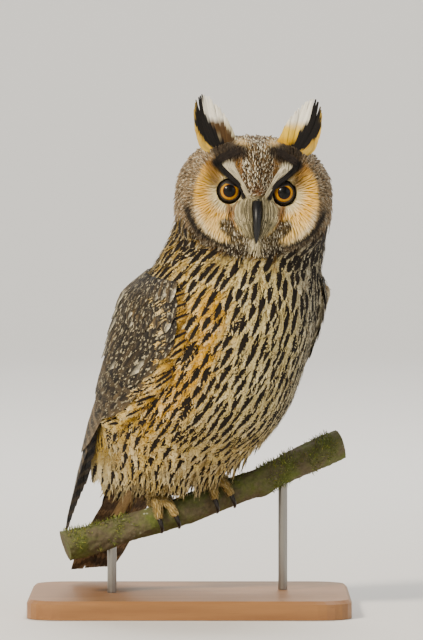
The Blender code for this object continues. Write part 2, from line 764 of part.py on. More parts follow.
def main():
    for old in list(bpy.data.objects):
        bpy.data.objects.remove(old)
    base, *rods = stand()
    perch = branch()
    for rod in rods:
        cut_with(rod, [perch])
    whole = body()
    join(whole, [head(), eyelid(-1), eyelid(1)])
    planes = []
    for up in (HEAD_CUT, NECK_CUT):
        planes.append((bird(45.0, 15.0, up), np.array([-0.12, 0.0, -1.0])))
    planes.append((section(BELLY_CUT)[0], section(BELLY_CUT + 0.3)[0] - section(BELLY_CUT - 0.3)[0]))
    flesh = part_at(whole, ["head", "neck", "torso", "belly"], planes)
    for half in bill():
        cut_with(half, [flesh[0]])
    for side, letter in ((-1, "right"), (1, "left")):
        eye = ball(f"eye_{letter}", in_head(EYE_SPREAD * side, -EYE_DEPTH, EYE_UP), EYE_RADIUS)
        cut_with(flesh[0], [eye])
        cut_with(ear_tuft(side, f"ear_tuft_{letter}"), [flesh[0]])
        w = wing(side, f"wing_{letter}")
        cut_with(w, flesh)
        f, claws = foot(side, f"foot_{letter}")
        cut_with(f, [perch] + flesh)
        for k, (path, sizes) in enumerate(claws):
            claw = tube(f"claw_{letter}_{k + 1}", path, sizes, 7, up=ALONG)
            cut_with(claw, [perch, f])
    t = tail()
    cut_with(t, flesh)
    for obj in bpy.data.objects:
        colour(obj)


main()
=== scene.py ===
import math

import bmesh
import bpy
import numpy as np
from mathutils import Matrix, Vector, noise
from mathutils.bvhtree import BVHTree
from mathutils.kdtree import KDTree


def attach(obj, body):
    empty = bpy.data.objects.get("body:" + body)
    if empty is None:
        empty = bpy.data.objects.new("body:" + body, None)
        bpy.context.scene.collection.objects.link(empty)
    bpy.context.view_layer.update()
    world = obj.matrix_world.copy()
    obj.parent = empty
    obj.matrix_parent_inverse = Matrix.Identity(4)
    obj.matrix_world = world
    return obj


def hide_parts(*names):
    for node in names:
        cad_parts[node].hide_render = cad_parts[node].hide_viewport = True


# A long-eared owl on a cut length of branch, on a plain stand. Lengths here are millimetres.
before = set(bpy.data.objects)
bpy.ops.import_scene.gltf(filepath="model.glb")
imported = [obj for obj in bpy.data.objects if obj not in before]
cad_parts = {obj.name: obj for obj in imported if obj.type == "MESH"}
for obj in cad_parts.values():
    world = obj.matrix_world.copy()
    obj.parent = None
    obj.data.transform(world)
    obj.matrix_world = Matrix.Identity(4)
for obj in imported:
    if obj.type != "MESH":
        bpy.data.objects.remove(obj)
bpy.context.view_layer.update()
mm = 0.001
dice = np.random.default_rng(11)


def say(text):
    print("owl:", text, flush=True)


# Small sums

def unit(v):
    v = np.asarray(v, float)
    return v / np.maximum(np.linalg.norm(v, axis=-1, keepdims=True), 1e-9)


def ease(low, high, x):
    t = np.clip((np.asarray(x, float) - low) / (high - low), 0.0, 1.0)
    return t * t * (3 - 2 * t)


def bump(x, wide):
    return np.exp(-((x / wide) ** 2))


def shades(code):
    # sRGB hex to linear
    parts = [int(code[i : i + 2], 16) / 255 for i in (0, 2, 4)]
    return np.array([((c + 0.055) / 1.055) ** 2.4 if c > 0.04 else c / 12.92 for c in parts])


def blendIn(base, colour, share):
    # lays a colour over rows of colours by a share for each
    return base + (shades(colour) - base) * np.clip(share, 0, 1)[..., None]


def nearLine(x, y, line):
    # distance to a line of points, and how far along it the nearest place is, 0 to 1
    best = np.full(np.shape(x), 1e9)
    where = np.zeros(np.shape(x))
    count = len(line) - 1
    for i in range(count):
        (ax, ay), (bx, by) = line[i], line[i + 1]
        dx, dy = bx - ax, by - ay
        t = np.clip(((x - ax) * dx + (y - ay) * dy) / (dx * dx + dy * dy), 0, 1)
        far = np.hypot(x - ax - t * dx, y - ay - t * dy)
        closer = far < best
        best = np.where(closer, far, best)
        where = np.where(closer, (i + t) / count, where)
    return best, where


# The bird's own frame, the same as in the part's source

pose = {
    "feet": (-2.0, -3.0, 88.0),
    "bodyYaw": 40.0,
    "headAt": (50.2, -36.0, 225.9),
    "headRoll": 2.0,
    "headYaw": 3.5,
}
feet = np.array(pose["feet"])
yaw = math.radians(pose["bodyYaw"])
leftWay = np.array([math.cos(yaw), math.sin(yaw), 0.0])
aheadWay = np.array([math.sin(yaw), -math.cos(yaw), 0.0])

# forward, left, up, half width, half depth in front, half depth behind, twist towards the face
bodyStations = np.array([
    (51.0, 14.5, 222.0, 50.0, 26.0, 36.0, 36.0),
    (48.0, 20.0, 197.0, 61.0, 40.0, 44.0, 32.0),
    (42.0, 14.0, 172.0, 66.0, 58.0, 56.0, 20.0),
    (36.0, 8.0, 146.0, 71.5, 70.0, 62.0, 8.0),
    (28.0, 4.5, 119.0, 72.5, 71.5, 63.0, 2.0),
    (16.0, 2.0, 92.0, 72.5, 71.0, 60.0, 0.0),
    (-4.0, 0.0, 66.0, 71.0, 59.0, 52.0, 0.0),
    (-34.0, 0.0, 42.0, 61.0, 36.0, 39.0, 0.0),
    (-64.0, 0.0, 18.0, 49.0, 20.0, 23.0, 0.0),
    (-92.0, 0.0, -13.0, 38.0, 10.0, 12.0, 0.0),
    (-116.0, 0.0, -47.0, 30.0, 4.0, 6.0, 0.0),
])


def bird(spot):
    spot = np.asarray(spot, float)
    up = np.zeros(3)
    up[2] = 1.0
    return feet + spot[..., :1] * aheadWay + spot[..., 1:2] * leftWay + spot[..., 2:3] * up


def through(rows, t):
    # a smooth curve through the rows
    t = np.clip(np.asarray(t, float), 0, len(rows) - 1.0)
    i = np.minimum(t.astype(int), len(rows) - 2)
    x = (t - i)[..., None]
    b, c = rows[i], rows[i + 1]
    a = np.where((i > 0)[..., None], rows[np.maximum(i - 1, 0)], 2 * b - c)
    d = np.where((i + 2 < len(rows))[..., None], rows[np.minimum(i + 2, len(rows) - 1)], 2 * c - b)
    return b + 0.5 * x * (c - a + x * (2 * a - 5 * b + 4 * c - d + x * (3 * (b - c) + d - a)))


def section(t):
    row = through(bodyStations, t)
    down = bird(through(bodyStations, t + 0.2)) - bird(through(bodyStations, t - 0.2))
    turn = yaw - np.radians(row[..., 6])
    across = np.stack([np.cos(turn), np.sin(turn), np.zeros_like(turn)], -1)
    return bird(row), across, unit(np.cross(across, down)), row[..., 3:4], row[..., 4:5], row[..., 5:6]


def onBody(t, around, lift=0.0):
    # around in degrees from the breast, more than 0 towards the bird's left
    t, around, lift = np.broadcast_arrays(np.asarray(t, float), around, lift)
    centre, across, dorsal, wide, front, back = section(t)
    c = np.cos(np.radians(around))[..., None]
    s = np.sin(np.radians(around))[..., None]
    deep = np.where(c > 0, front, back)
    out = unit(-dorsal * c / deep + across * s / wide)
    return centre - dorsal * deep * c + across * wide * s + out * lift[..., None]


headCentre = feet + np.array(pose["headAt"])
roll, headYaw = math.radians(pose["headRoll"]), math.radians(pose["headYaw"])
rollTurn = np.array([[math.cos(roll), 0, math.sin(roll)], [0, 1, 0], [-math.sin(roll), 0, math.cos(roll)]])
yawTurn = np.array([
    [math.cos(headYaw), -math.sin(headYaw), 0],
    [math.sin(headYaw), math.cos(headYaw), 0],
    [0, 0, 1],
])
headTurn = yawTurn @ rollTurn  # from right, back, up of the head to the world


def inHead(right, back, up):
    spot = np.stack(np.broadcast_arrays(*[np.asarray(v, float) for v in (right, back, up)]), -1)
    return headCentre + spot @ headTurn.T


def headSpot(points):
    spot = (points - headCentre) @ headTurn
    return spot[..., 0], spot[..., 1], spot[..., 2]


eyeAt = (20.4, 5.5)  # the eyes' middles, to the side and up on the head


def fromEye(right, up):
    return np.hypot(np.abs(right) - eyeAt[0], up - eyeAt[1])


# Wings, in millimetres along the back from the shoulder and 0 to 1 across

wingStart = 2.15
guideStations = np.linspace(wingStart, len(bodyStations) - 1.0, 90)
guideSteps = np.linalg.norm(np.diff(section(guideStations)[0], axis=0), axis=1)
guideLengths = np.concatenate([[0.0], np.cumsum(guideSteps)])


def wingEdges(along):
    front = np.interp(along, (0, 40, 90, 130, 200, 268), (62, 62, 76, 86, 98, 118))
    back = np.interp(along, (0, 30, 200, 268), (150, 168, 170, 166))
    return front, back


def onWing(along, across, side, lift):
    front, back = wingEdges(along)
    t = np.interp(along, guideLengths, guideStations)
    return onBody(t, side * (front + (back - front) * across), lift)


def wingCoreLift(along, across):
    full = 6.0 * ease(-8.0, 22.0, along) * (1 - 0.62 * ease(60.0, 132.0, along))
    return 0.6 + full * np.sin(np.pi * np.clip(0.05 + 0.87 * across, 0, 1)) ** 0.7


# Meshes

def linked(name, data):
    made = bpy.data.objects.new(name, data)
    bpy.context.scene.collection.objects.link(made)
    return made


def objectFrom(name, bm, smooth=True, sharpDegrees=None):
    mesh = bpy.data.meshes.new(name)
    bm.to_mesh(mesh)
    bm.free()
    if smooth:
        mesh.shade_smooth()
    if sharpDegrees:
        mesh.set_sharp_from_angle(angle=math.radians(sharpDegrees))
    return linked(name, mesh)


def settle(obj, nodes, material=None):
    # its material, its body, its slot and the nodes it stands for
    if material:
        obj.data.materials.clear()
        obj.data.materials.append(material)
    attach(obj, "root")
    if nodes:
        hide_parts(*nodes)


def storeColours(mesh, key, values):
    full = np.ones((len(mesh.vertices), 4), np.float32)
    full[:, : np.shape(values)[-1]] = values
    mesh.attributes.new(key, "FLOAT_COLOR", "POINT").data.foreach_set("color", full.ravel())


def vertexSpots(mesh, what="co"):
    spots = np.empty(len(mesh.vertices) * 3, np.float32)
    mesh.vertices.foreach_get(what, spots)
    return spots.reshape(-1, 3)


def applyModifiers(obj):
    graph = bpy.context.evaluated_depsgraph_get()
    mesh = bpy.data.meshes.new_from_object(obj.evaluated_get(graph))
    old = obj.data
    obj.modifiers.clear()
    obj.data = mesh
    bpy.data.meshes.remove(old)
    mesh.name = obj.name


def smoothAll(bm, times):
    for _ in range(times):
        bmesh.ops.smooth_vert(
            bm, verts=bm.verts, factor=0.5, use_axis_x=True, use_axis_y=True, use_axis_z=True
        )
    bm.normal_update()


def evenSurface(name, bm, voxelMm, smoothings, sink, last=0):
    # one even mesh round the shapes, smoothed, and sunk in by sink(spots) so that the coat lies over it
    shape = objectFrom(name, bm)
    remesh = shape.modifiers.new("voxels", "REMESH")
    remesh.mode = "VOXEL"
    remesh.voxel_size = voxelMm * mm
    applyModifiers(shape)
    bm = bmesh.new()
    bm.from_mesh(shape.data)
    smoothAll(bm, smoothings)
    spots = np.array([v.co for v in bm.verts]) / mm
    for v, d in zip(bm.verts, sink(spots)):
        v.co -= v.normal * float(d) * mm
    smoothAll(bm, last)
    bm.to_mesh(shape.data)
    bm.free()
    shape.data.shade_smooth()
    return shape


def sheetSlab(bm, place, columns, rows, thick):
    # a curved slab: a grid whose corners place(u, v) sets, given a thickness
    made = bmesh.ops.create_grid(bm, x_segments=columns, y_segments=rows, size=0.5)["verts"]
    spots = np.array([(v.co.x + 0.5, v.co.y + 0.5) for v in made])
    for v, p in zip(made, place(spots[:, 0], spots[:, 1])):
        v.co = p * mm
    faces = list({f for v in made for f in v.link_faces})
    bmesh.ops.recalc_face_normals(bm, faces=faces)
    bmesh.ops.solidify(bm, geom=faces, thickness=thick * mm)


def loftRings(rings):
    # closed tube through rings of world points, by extruding the first ring
    bm = bmesh.new()
    count = len(rings[0])
    loop = bmesh.ops.create_circle(bm, cap_ends=False, segments=count, radius=1.0)["verts"]
    for v, p in zip(loop, rings[0]):
        v.co = Vector(p * mm)
    bmesh.ops.contextual_create(bm, geom=list({e for v in loop for e in v.link_edges}))
    edges = list({e for v in loop for e in v.link_edges})
    for ring in rings[1:]:
        grown = bmesh.ops.extrude_edge_only(bm, edges=edges)["geom"]
        fresh = [g for g in grown if isinstance(g, bmesh.types.BMVert)]
        edges = [g for g in grown if isinstance(g, bmesh.types.BMEdge)]
        chain = {v: [] for v in fresh}
        for e in edges:
            chain[e.verts[0]].append(e.verts[1])
            chain[e.verts[1]].append(e.verts[0])
        partner = {}
        for v in fresh:
            for e in v.link_edges:
                other = e.other_vert(v)
                if other not in chain:
                    partner[other] = v
        loop = [partner[v] for v in loop]
        for v, p in zip(loop, ring):
            v.co = Vector(p * mm)
    bmesh.ops.contextual_create(bm, geom=edges)
    bmesh.ops.recalc_face_normals(bm, faces=bm.faces)
    return bm


def tubeRings(path, radii, sides, up, squash=1.0):
    path = np.asarray(path, float)
    rings = []
    for i, p in enumerate(path):
        along = unit(path[min(i + 1, len(path) - 1)] - path[max(i - 1, 0)])
        side = unit(np.cross(along, up))
        top = np.cross(side, along)
        turns = np.linspace(0, 2 * math.pi, sides, endpoint=False)[:, None]
        rings.append(p + radii[i] * (side * np.cos(turns) + top * squash * np.sin(turns)))
    return rings


# Materials

def add(tree, kind, inputs=None, **settings):
    # a node with its settings, and its inputs set or linked
    made = tree.nodes.new("ShaderNode" + kind)
    for key, value in settings.items():
        setattr(made, key, value)
    for key, value in (inputs or {}).items():
        if isinstance(value, bpy.types.NodeSocket):
            tree.links.new(value, made.inputs[key])
        else:
            made.inputs[key].default_value = value
    return made


def rgba(code):
    return (*shades(code), 1.0)


def perMetre(sizeMm):
    # a pattern's scale on Object coordinates, from the real size of what it shows
    return 1000 / sizeMm


def newMaterial(name, sockets):
    material = bpy.data.materials.new(name)
    material.use_nodes = True
    shader = material.node_tree.nodes["Principled BSDF"]
    for key, value in sockets.items():
        shader.inputs[key].default_value = value
    return material, material.node_tree, shader


def featherMaterial(name, look):
    # feather barbs: matte, soft keratin with a faint sheen; each feather has its tint, and the marks are here
    material, tree, shader = newMaterial(name, {
        "Roughness": look["roughness"],
        "Sheen Weight": look["sheen"],
        "Sheen Roughness": 0.5,
        "Specular IOR Level": 0.25,
    })
    tint = add(tree, "Attribute", attribute_name="tint")
    marks = add(tree, "Attribute", attribute_name="mark")
    mark = add(tree, "SeparateColor", {0: marks.outputs["Color"]})
    blade = add(tree, "SeparateColor", {0: add(tree, "Attribute", attribute_name="blade").outputs["Color"]})
    # the flecks keep to each feather: across and along it in millimetres, and another part for each one
    own = add(tree, "CombineXYZ", {0: blade.outputs[0], 1: blade.outputs[1]})
    far = add(tree, "VectorMath", {0: blade.outputs[2], 1: (61.0, 37.0, 83.0)}, operation="MULTIPLY")
    moved = add(tree, "VectorMath", {0: own.outputs[0], 1: far.outputs[0]}, operation="ADD")
    place = add(tree, "VectorMath", {0: moved.outputs[0], 1: (mm, mm * look["stretch"], mm)},
                operation="MULTIPLY").outputs[0]

    def grain(size, detail):
        return add(tree, "TexNoise", {"Vector": place, "Scale": perMetre(size), "Detail": detail}).outputs[0]

    def maths(operation, *values, clamp=False):
        return add(tree, "Math", dict(enumerate(values)), operation=operation, use_clamp=clamp).outputs[0]

    def over(colour, share, code):
        return add(tree, "Mix", {0: share, 6: colour, 7: rgba(code)}, data_type="RGBA").outputs[2]

    fine, pale, jitter = grain(look["fleckMm"], 2.0), grain(look["paleMm"], 2.0), grain(look["edgeMm"], 2.0)
    # each feather a little lighter or darker than the next
    swing = maths("MULTIPLY_ADD", blade.outputs[2], look["swing"], 1.0 - 0.5 * look["swing"])
    both = {0: 1.0, 6: tint.outputs["Color"], 7: swing}
    base = add(tree, "Mix", both, data_type="RGBA", blend_type="MULTIPLY")
    colour = base.outputs[2]
    if look["barMm"]:
        # bars across long feathers
        way = maths("MULTIPLY", blade.outputs[1], 6.283 / look["barMm"])
        wave = maths("SINE", maths("MULTIPLY_ADD", jitter, 3.2, way))
        bars = maths("MULTIPLY_ADD", wave, 2.0, -0.1, clamp=True)
    else:
        # thin wandering lines, as wide as half a pixel of the picture
        wander = maths("ABSOLUTE", maths("SUBTRACT", grain(look["wanderMm"], 1.0), 0.5))
        bars = maths("MULTIPLY_ADD", wander, -26.0, 1.15, clamp=True)
    colour = over(colour, maths("MULTIPLY", bars, mark.outputs[2]), look["barColour"])
    # dark flecks, then pale ones between them
    fleck = maths("MULTIPLY_ADD", fine, 11.0, -5.3, clamp=True)
    colour = over(colour, maths("MULTIPLY", fleck, mark.outputs[1]), look["fleckColour"])
    spot = maths("MULTIPLY_ADD", pale, 12.0, -12.0 * look["paleFrom"], clamp=True)
    colour = over(colour, maths("MULTIPLY", spot, marks.outputs["Alpha"]), look["paleColour"])
    # dark shaft streaks with frayed edges
    edge = maths("MULTIPLY_ADD", jitter, look["fray"], mark.outputs[0])
    streak = maths("MULTIPLY_ADD", edge, 9.0, -9.0 * (0.5 + 0.5 * look["fray"]) + 0.5, clamp=True)
    colour = over(colour, streak, look["streakColour"])
    rich = add(tree, "HueSaturation", {"Color": colour, "Saturation": look["richness"], "Hue": look["turn"]})
    tree.links.new(rich.outputs[0], shader.inputs["Base Color"])
    # barbs slanting from the shaft, drawn coarser than real so that they show
    slant = maths("MULTIPLY_ADD", maths("ABSOLUTE", blade.outputs[0]), 1.6, blade.outputs[1])
    ridges = maths("SINE", maths("MULTIPLY", slant, 6.283 / look["barbMm"]))
    height = add(tree, "Bump", {"Height": ridges, "Strength": 0.35, "Distance": 0.12 * mm})
    tree.links.new(height.outputs[0], shader.inputs["Normal"])
    return material


# on a live bird flecks and lines are finer than this; drawn coarser, so that they show
coatLook = {
    "roughness": 0.8, "sheen": 0.04, "swing": 0.34, "fray": 0.2, "richness": 1.16, "turn": 0.508,
    "fleckMm": 1.9, "paleMm": 2.1, "edgeMm": 1.4, "wanderMm": 2.6, "barMm": 0.0, "barbMm": 1.0,
    "stretch": 0.6, "paleFrom": 0.53,
    "fleckColour": "3D2C1C", "paleColour": "EFE6CF", "streakColour": "160F09", "barColour": "5E3D1A",
}
coatMaterial = featherMaterial("feather_barbs_soft", coatLook)
faceMaterial = featherMaterial("feather_bristles_fine", {
    **coatLook, "fleckMm": 1.5, "paleMm": 1.4, "barbMm": 0.7, "stretch": 0.4, "richness": 1.02, "turn": 0.504,
    "fleckColour": "1E150E", "paleColour": "DED3B8",
})
wingMaterial = featherMaterial("feather_vanes_firm", {
    **coatLook, "roughness": 0.62, "sheen": 0.03, "fleckMm": 1.7, "paleMm": 1.7, "barMm": 12.5,
    "paleFrom": 0.57, "stretch": 0.45, "richness": 0.92,
    "fleckColour": "15100B", "paleColour": "CDBE98", "barColour": "8C7350",
})

# Skin: one surface from the head to the tail, under all the feathers

skinLook = {
    "voxelMm": 1.9, "swellMm": 0.5, "smoothings": 6, "bodyDepthMm": 3.2, "faceDepthMm": 1.4,
    "wingRun": 134.0, "wingThick": 4.5,  # the wings' roots are filled in under the coat
}


def makeSkinShape():
    bm = bmesh.new()
    for name in ("head", "neck", "torso", "belly"):
        bm.from_mesh(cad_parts[name].data)
    bmesh.ops.remove_doubles(bm, verts=bm.verts, dist=1e-6)
    bm.normal_update()
    swell = skinLook["swellMm"] * mm
    for v in bm.verts:
        v.co += v.normal * swell
    for side in (-1, 1):
        def core(u, v, side=side):
            along = skinLook["wingRun"] * v
            return onWing(along, u, side, wingCoreLift(along, u))
        sheetSlab(bm, core, 16, 26, skinLook["wingThick"])

    def sink(spots):
        # the face's coat is thinner
        _, back, up = headSpot(spots)
        face = ease(-50, -42, up) * ease(8, -6, back)
        depth = skinLook["bodyDepthMm"] + (skinLook["faceDepthMm"] - skinLook["bodyDepthMm"]) * face
        return depth + skinLook["swellMm"]
    return evenSurface("skin", bm, skinLook["voxelMm"], skinLook["smoothings"], sink, last=2)


say("skin")
skin = makeSkinShape()


def readSurface(obj):
    # corners, faces, smooth normals and a search tree, in millimetres
    mesh = obj.data
    spots, normals = vertexSpots(mesh) / mm, vertexSpots(mesh, "normal")
    faces = [tuple(p.vertices) for p in mesh.polygons]
    quads = np.array([(*f, f[-1])[:4] for f in faces])
    links = np.empty(len(mesh.edges) * 2, np.int32)
    mesh.edges.foreach_get("vertices", links)
    links = links.reshape(-1, 2)
    for _ in range(4):
        total = normals.copy()
        np.add.at(total, links[:, 0], normals[links[:, 1]])
        np.add.at(total, links[:, 1], normals[links[:, 0]])
        normals = unit(total)
    corners = spots[quads]
    crossed = np.cross(corners[:, 2] - corners[:, 0], corners[:, 3] - corners[:, 1])
    return {
        "tree": BVHTree.FromPolygons([Vector(p) for p in spots], faces),
        "normals": unit(normals[quads].mean(axis=1)),
        "corners": corners,
        "areas": 0.5 * np.linalg.norm(crossed, axis=1),
    }


surface = readSurface(skin)


def onSurface(points, ground):
    # nearest places on a surface with their smooth normals
    flat = np.asarray(points, float).reshape(-1, 3)
    places = np.empty_like(flat)
    index = np.empty(len(flat), int)
    find = ground["tree"].find_nearest
    for i, p in enumerate(flat):
        spot, _, face, _ = find(p)
        places[i] = spot
        index[i] = face
    return places.reshape(np.shape(points)), ground["normals"][index].reshape(np.shape(points))


def scatter(ground, spacing, keep, tries=2.6):
    # evenly spread places where keep says so, none closer than the spacing
    areas = ground["areas"]
    count = int(areas.sum() / spacing**2 * tries)
    pick = dice.choice(len(areas), count, p=areas / areas.sum())
    a, b, c, d = (ground["corners"][pick, k] for k in range(4))
    s, t = dice.random((2, count, 1))
    spots = (a * (1 - s) + b * s) * (1 - t) + (d * (1 - s) + c * s) * t
    spots = spots[keep(spots)]
    cells = np.floor(spots / spacing).astype(int)
    taken, kept = {}, []
    around = [(i, j, k) for i in (-1, 0, 1) for j in (-1, 0, 1) for k in (-1, 0, 1)]
    limit = spacing**2
    for n, (cell, p) in enumerate(zip(map(tuple, cells), spots.tolist())):
        free = True
        for i, j, k in around:
            for q in taken.get((cell[0] + i, cell[1] + j, cell[2] + k), ()):
                if (p[0] - q[0]) ** 2 + (p[1] - q[1]) ** 2 + (p[2] - q[2]) ** 2 < limit:
                    free = False
                    break
            if not free:
                break
        if free:
            taken.setdefault(cell, []).append(p)
            kept.append(n)
    return spots[kept]


# Where a place is on the body: station and degrees round

gridT, gridA = np.meshgrid(np.linspace(0.0, 9.8, 197), np.arange(-180.0, 180.0, 4.0), indexing="ij")
gridT, gridA = gridT.ravel(), gridA.ravel()
gridSpots = onBody(gridT, gridA)
bodyTree = KDTree(len(gridSpots))
for n, p in enumerate(gridSpots):
    bodyTree.insert(p, n)
bodyTree.balance()


def bodySpot(points):
    flat = np.asarray(points, float).reshape(-1, 3)
    index = np.array([bodyTree.find(p)[1] for p in flat])
    t, a = gridT[index], gridA[index]
    down = (onBody(t + 0.05, a) - onBody(t - 0.05, a)) / 0.1
    turn = (onBody(t, a + 2) - onBody(t, a - 2)) / 4
    gap = flat - gridSpots[index]
    t = t + np.clip((gap * down).sum(-1) / (down**2).sum(-1), -0.05, 0.05)
    a = a + np.clip((gap * turn).sum(-1) / (turn**2).sum(-1), -3, 3)
    shape = np.shape(points)[:-1]
    return t.reshape(shape), a.reshape(shape)


# Lie of the coat: in front all feathers slant the same way across the picture

lie = {"around": (-150, -100, -60, -20, 20, 60, 95), "slant": (0.9, 1.0, 0.85, 0.5, 0.36, 0.34, 0.2)}


def bodyFlow(points):
    t, a = bodySpot(points)
    down = unit(onBody(t + 0.1, a) - onBody(t - 0.1, a))
    out = unit(np.cross(onBody(t, a + 2) - onBody(t, a - 2), down))
    slant = np.interp(a, lie["around"], lie["slant"]) * (0.75 + 0.25 * ease(1.0, 2.5, t))
    wish = np.stack([-slant, np.zeros_like(slant), -np.ones_like(slant)], -1)
    wish = unit(wish - out * (wish * out).sum(-1, keepdims=True))
    share = ease(100, 60, a) * ease(-160, -125, a)
    return unit(down + (wish - down) * share[..., None])


def crestWide(up):
    return np.interp(up, (-2, 4, 10, 36, 44), (1.0, 6.5, 11.0, 12.0, 16.0))


def faceRing(right, up):
    return ((np.abs(right) / 47.0) ** 2.4 + (np.abs(up) / 39.0) ** 2.4) ** (1 / 2.4)


def headFlow(points):
    right, back, up = headSpot(points)
    side = np.where(right < 0, -1.0, 1.0)
    away = np.stack([right - side * eyeAt[0], np.full_like(right, -0.15), up - eyeAt[1]], -1)
    flow = unit(np.stack([0.12 * side, np.full_like(right, 0.6), np.full_like(right, -0.75)], -1))
    crown = unit(np.stack([0.15 * side, np.full_like(right, 1.0), -0.1 - 0.01 * back], -1))
    flow = flow + (crown - flow) * (ease(24, 34, up) * ease(30, 10, back))[..., None]
    disc = ease(1.22, 1.04, faceRing(right, up)) * ease(6, -8, back)
    flow = flow + (unit(away) - flow) * disc[..., None]
    vee = ease(1.15, 0.85, np.abs(right) / crestWide(up)) * ease(0, 6, up) * ease(10, -8, back)
    rise = unit(np.stack([0.02 * right, np.full_like(right, 0.3), np.full_like(right, 1.0)], -1))
    flow = flow + (rise - flow) * vee[..., None]
    beard = ease(12, 6, np.abs(right)) * ease(3, -3, up) * ease(0, -8, back)
    fall = unit(np.stack([0.06 * right, np.full_like(right, -0.25), np.full_like(right, -1.0)], -1))
    flow = flow + (fall - flow) * beard[..., None]
    return unit(flow) @ headTurn.T


def underLine(up):
    # where the dark line under the disc runs, as a share of the face's ring
    return np.interp(up, (-39, -35, -31, -25, -17, -9), (0.97, 0.99, 1.02, 1.05, 1.08, 1.11))


def neckZone(right, back, up):
    # below the face the neck's streaked feathers come up to the disc
    past = faceRing(right, up) - underLine(up)
    return ease(0.0, 0.07, past) * ease(-8, -18, up) * ease(22, 6, back)


def headShare(points):
    right, back, up = headSpot(points)
    low = 0.8 * np.maximum(back, 0) + 0.9 * np.maximum(np.abs(right) - 44, 0)
    return ease(-50, -41, up - low * ease(10, -25, up)) * (1 - neckZone(right, back, up))


def coatFlow(points):
    share = headShare(points)[..., None]
    return unit(headFlow(points) * share + bodyFlow(points) * (1 - share))


# Streaked feathers of the underparts, in staggered rings; each has one dark stripe down its shaft

streakLook = {
    "station": (0.4, 1.2, 2.2, 3.4, 5.0, 8.5), "across": (7.8, 8.8, 10.6, 12.4, 13.4, 13.4),
    "along": (8.5, 11.0, 15.5, 19.0, 21.0, 19.0), "leftCloser": 0.26,
    "wide": (2.4, 2.35, 2.15, 2.05, 1.9, 1.6), "shape": (0.3, 0.7, 0.95, 1.05, 1.05, 0.9, 0.35),
}


def makeStreakRoots():
    spots, t, row = [], 0.35, 0
    while t < 8.6:
        centre, _, _, wide, front, back = section(np.array(t))
        girth = math.pi * float(wide[0] + 0.5 * (front[0] + back[0]))
        step = float(np.interp(t, streakLook["station"], streakLook["across"]))
        a = -180.0 + dice.uniform(0, 8) + (180.0 * step / girth if row % 2 else 0)
        while a < 180:
            spots.append((t + dice.normal(0, 0.07), a + dice.normal(0, 1.5)))
            a += 360 * step / girth * (1 - streakLook["leftCloser"] * float(bump(a - 45.0, 30.0)))
        down = float(np.linalg.norm(section(np.array(t + 0.1))[0] - centre)) / 0.1
        t += float(np.interp(t, streakLook["station"], streakLook["along"])) / down
        row += 1
    return np.array(spots)


def addNeckRoots(roots):
    # more of them on the neck, up to the disc
    taken = KDTree(len(roots))
    spots, _ = onSurface(onBody(*roots.T), surface)
    for n, p in enumerate(spots):
        taken.insert(p, n)
    taken.balance()
    extra = scatter(surface, 6.0, lambda p: neckZone(*headSpot(p)) * (headShare(p) < 0.6) > 0.35)
    extra = np.array([p for p in extra if taken.find(p)[2] > 5.0])
    spots = np.concatenate([spots, extra])
    return spots, np.concatenate([roots, np.stack(bodySpot(extra), -1)])


streakPlaces, streakRoots = addNeckRoots(makeStreakRoots())
streakSpots = []  # places on the stripes and their half widths, filled when the feathers are laid


def gatherStreaks(made, half):
    rows = made["path"].shape[1]
    share = np.linspace(0, 1, 13)[None, :] * np.ones((len(half), 1))
    path = pickRows(made["path"], share)
    wide = half[:, None] * np.interp(share, np.linspace(0, 1, rows), streakLook["shape"])
    tree = KDTree(path.shape[0] * path.shape[1])
    for n, p in enumerate(path.reshape(-1, 3)):
        tree.insert(p, n)
    tree.balance()
    streakSpots.extend((tree, wide.ravel()))


def streakAt(points):
    # 0.5 at a stripe's edge, more inside and less outside, in steps of 6 mm
    tree, wide = streakSpots
    flat = points.reshape(-1, 3)
    value = np.empty(len(flat))
    for i, p in enumerate(flat):
        value[i] = max(wide[n] - far for _, n, far in tree.find_n(p, 3))
    return np.clip(0.5 + value / 6.0, 0, 1).reshape(points.shape[:-1])


# Colours of the coat

bodyColours = {
    "cream": "D6C38E", "grey": "CBC5B2", "orange": "C98A1C", "ochre": "B48C42", "belly": "B8984F",
    "collar": "2C2016", "mantle": "4A3A28", "under": "C9B27C", "nape": "6B5233", "shaft": "7E5426",
    "tip": "EFE3C4",
}


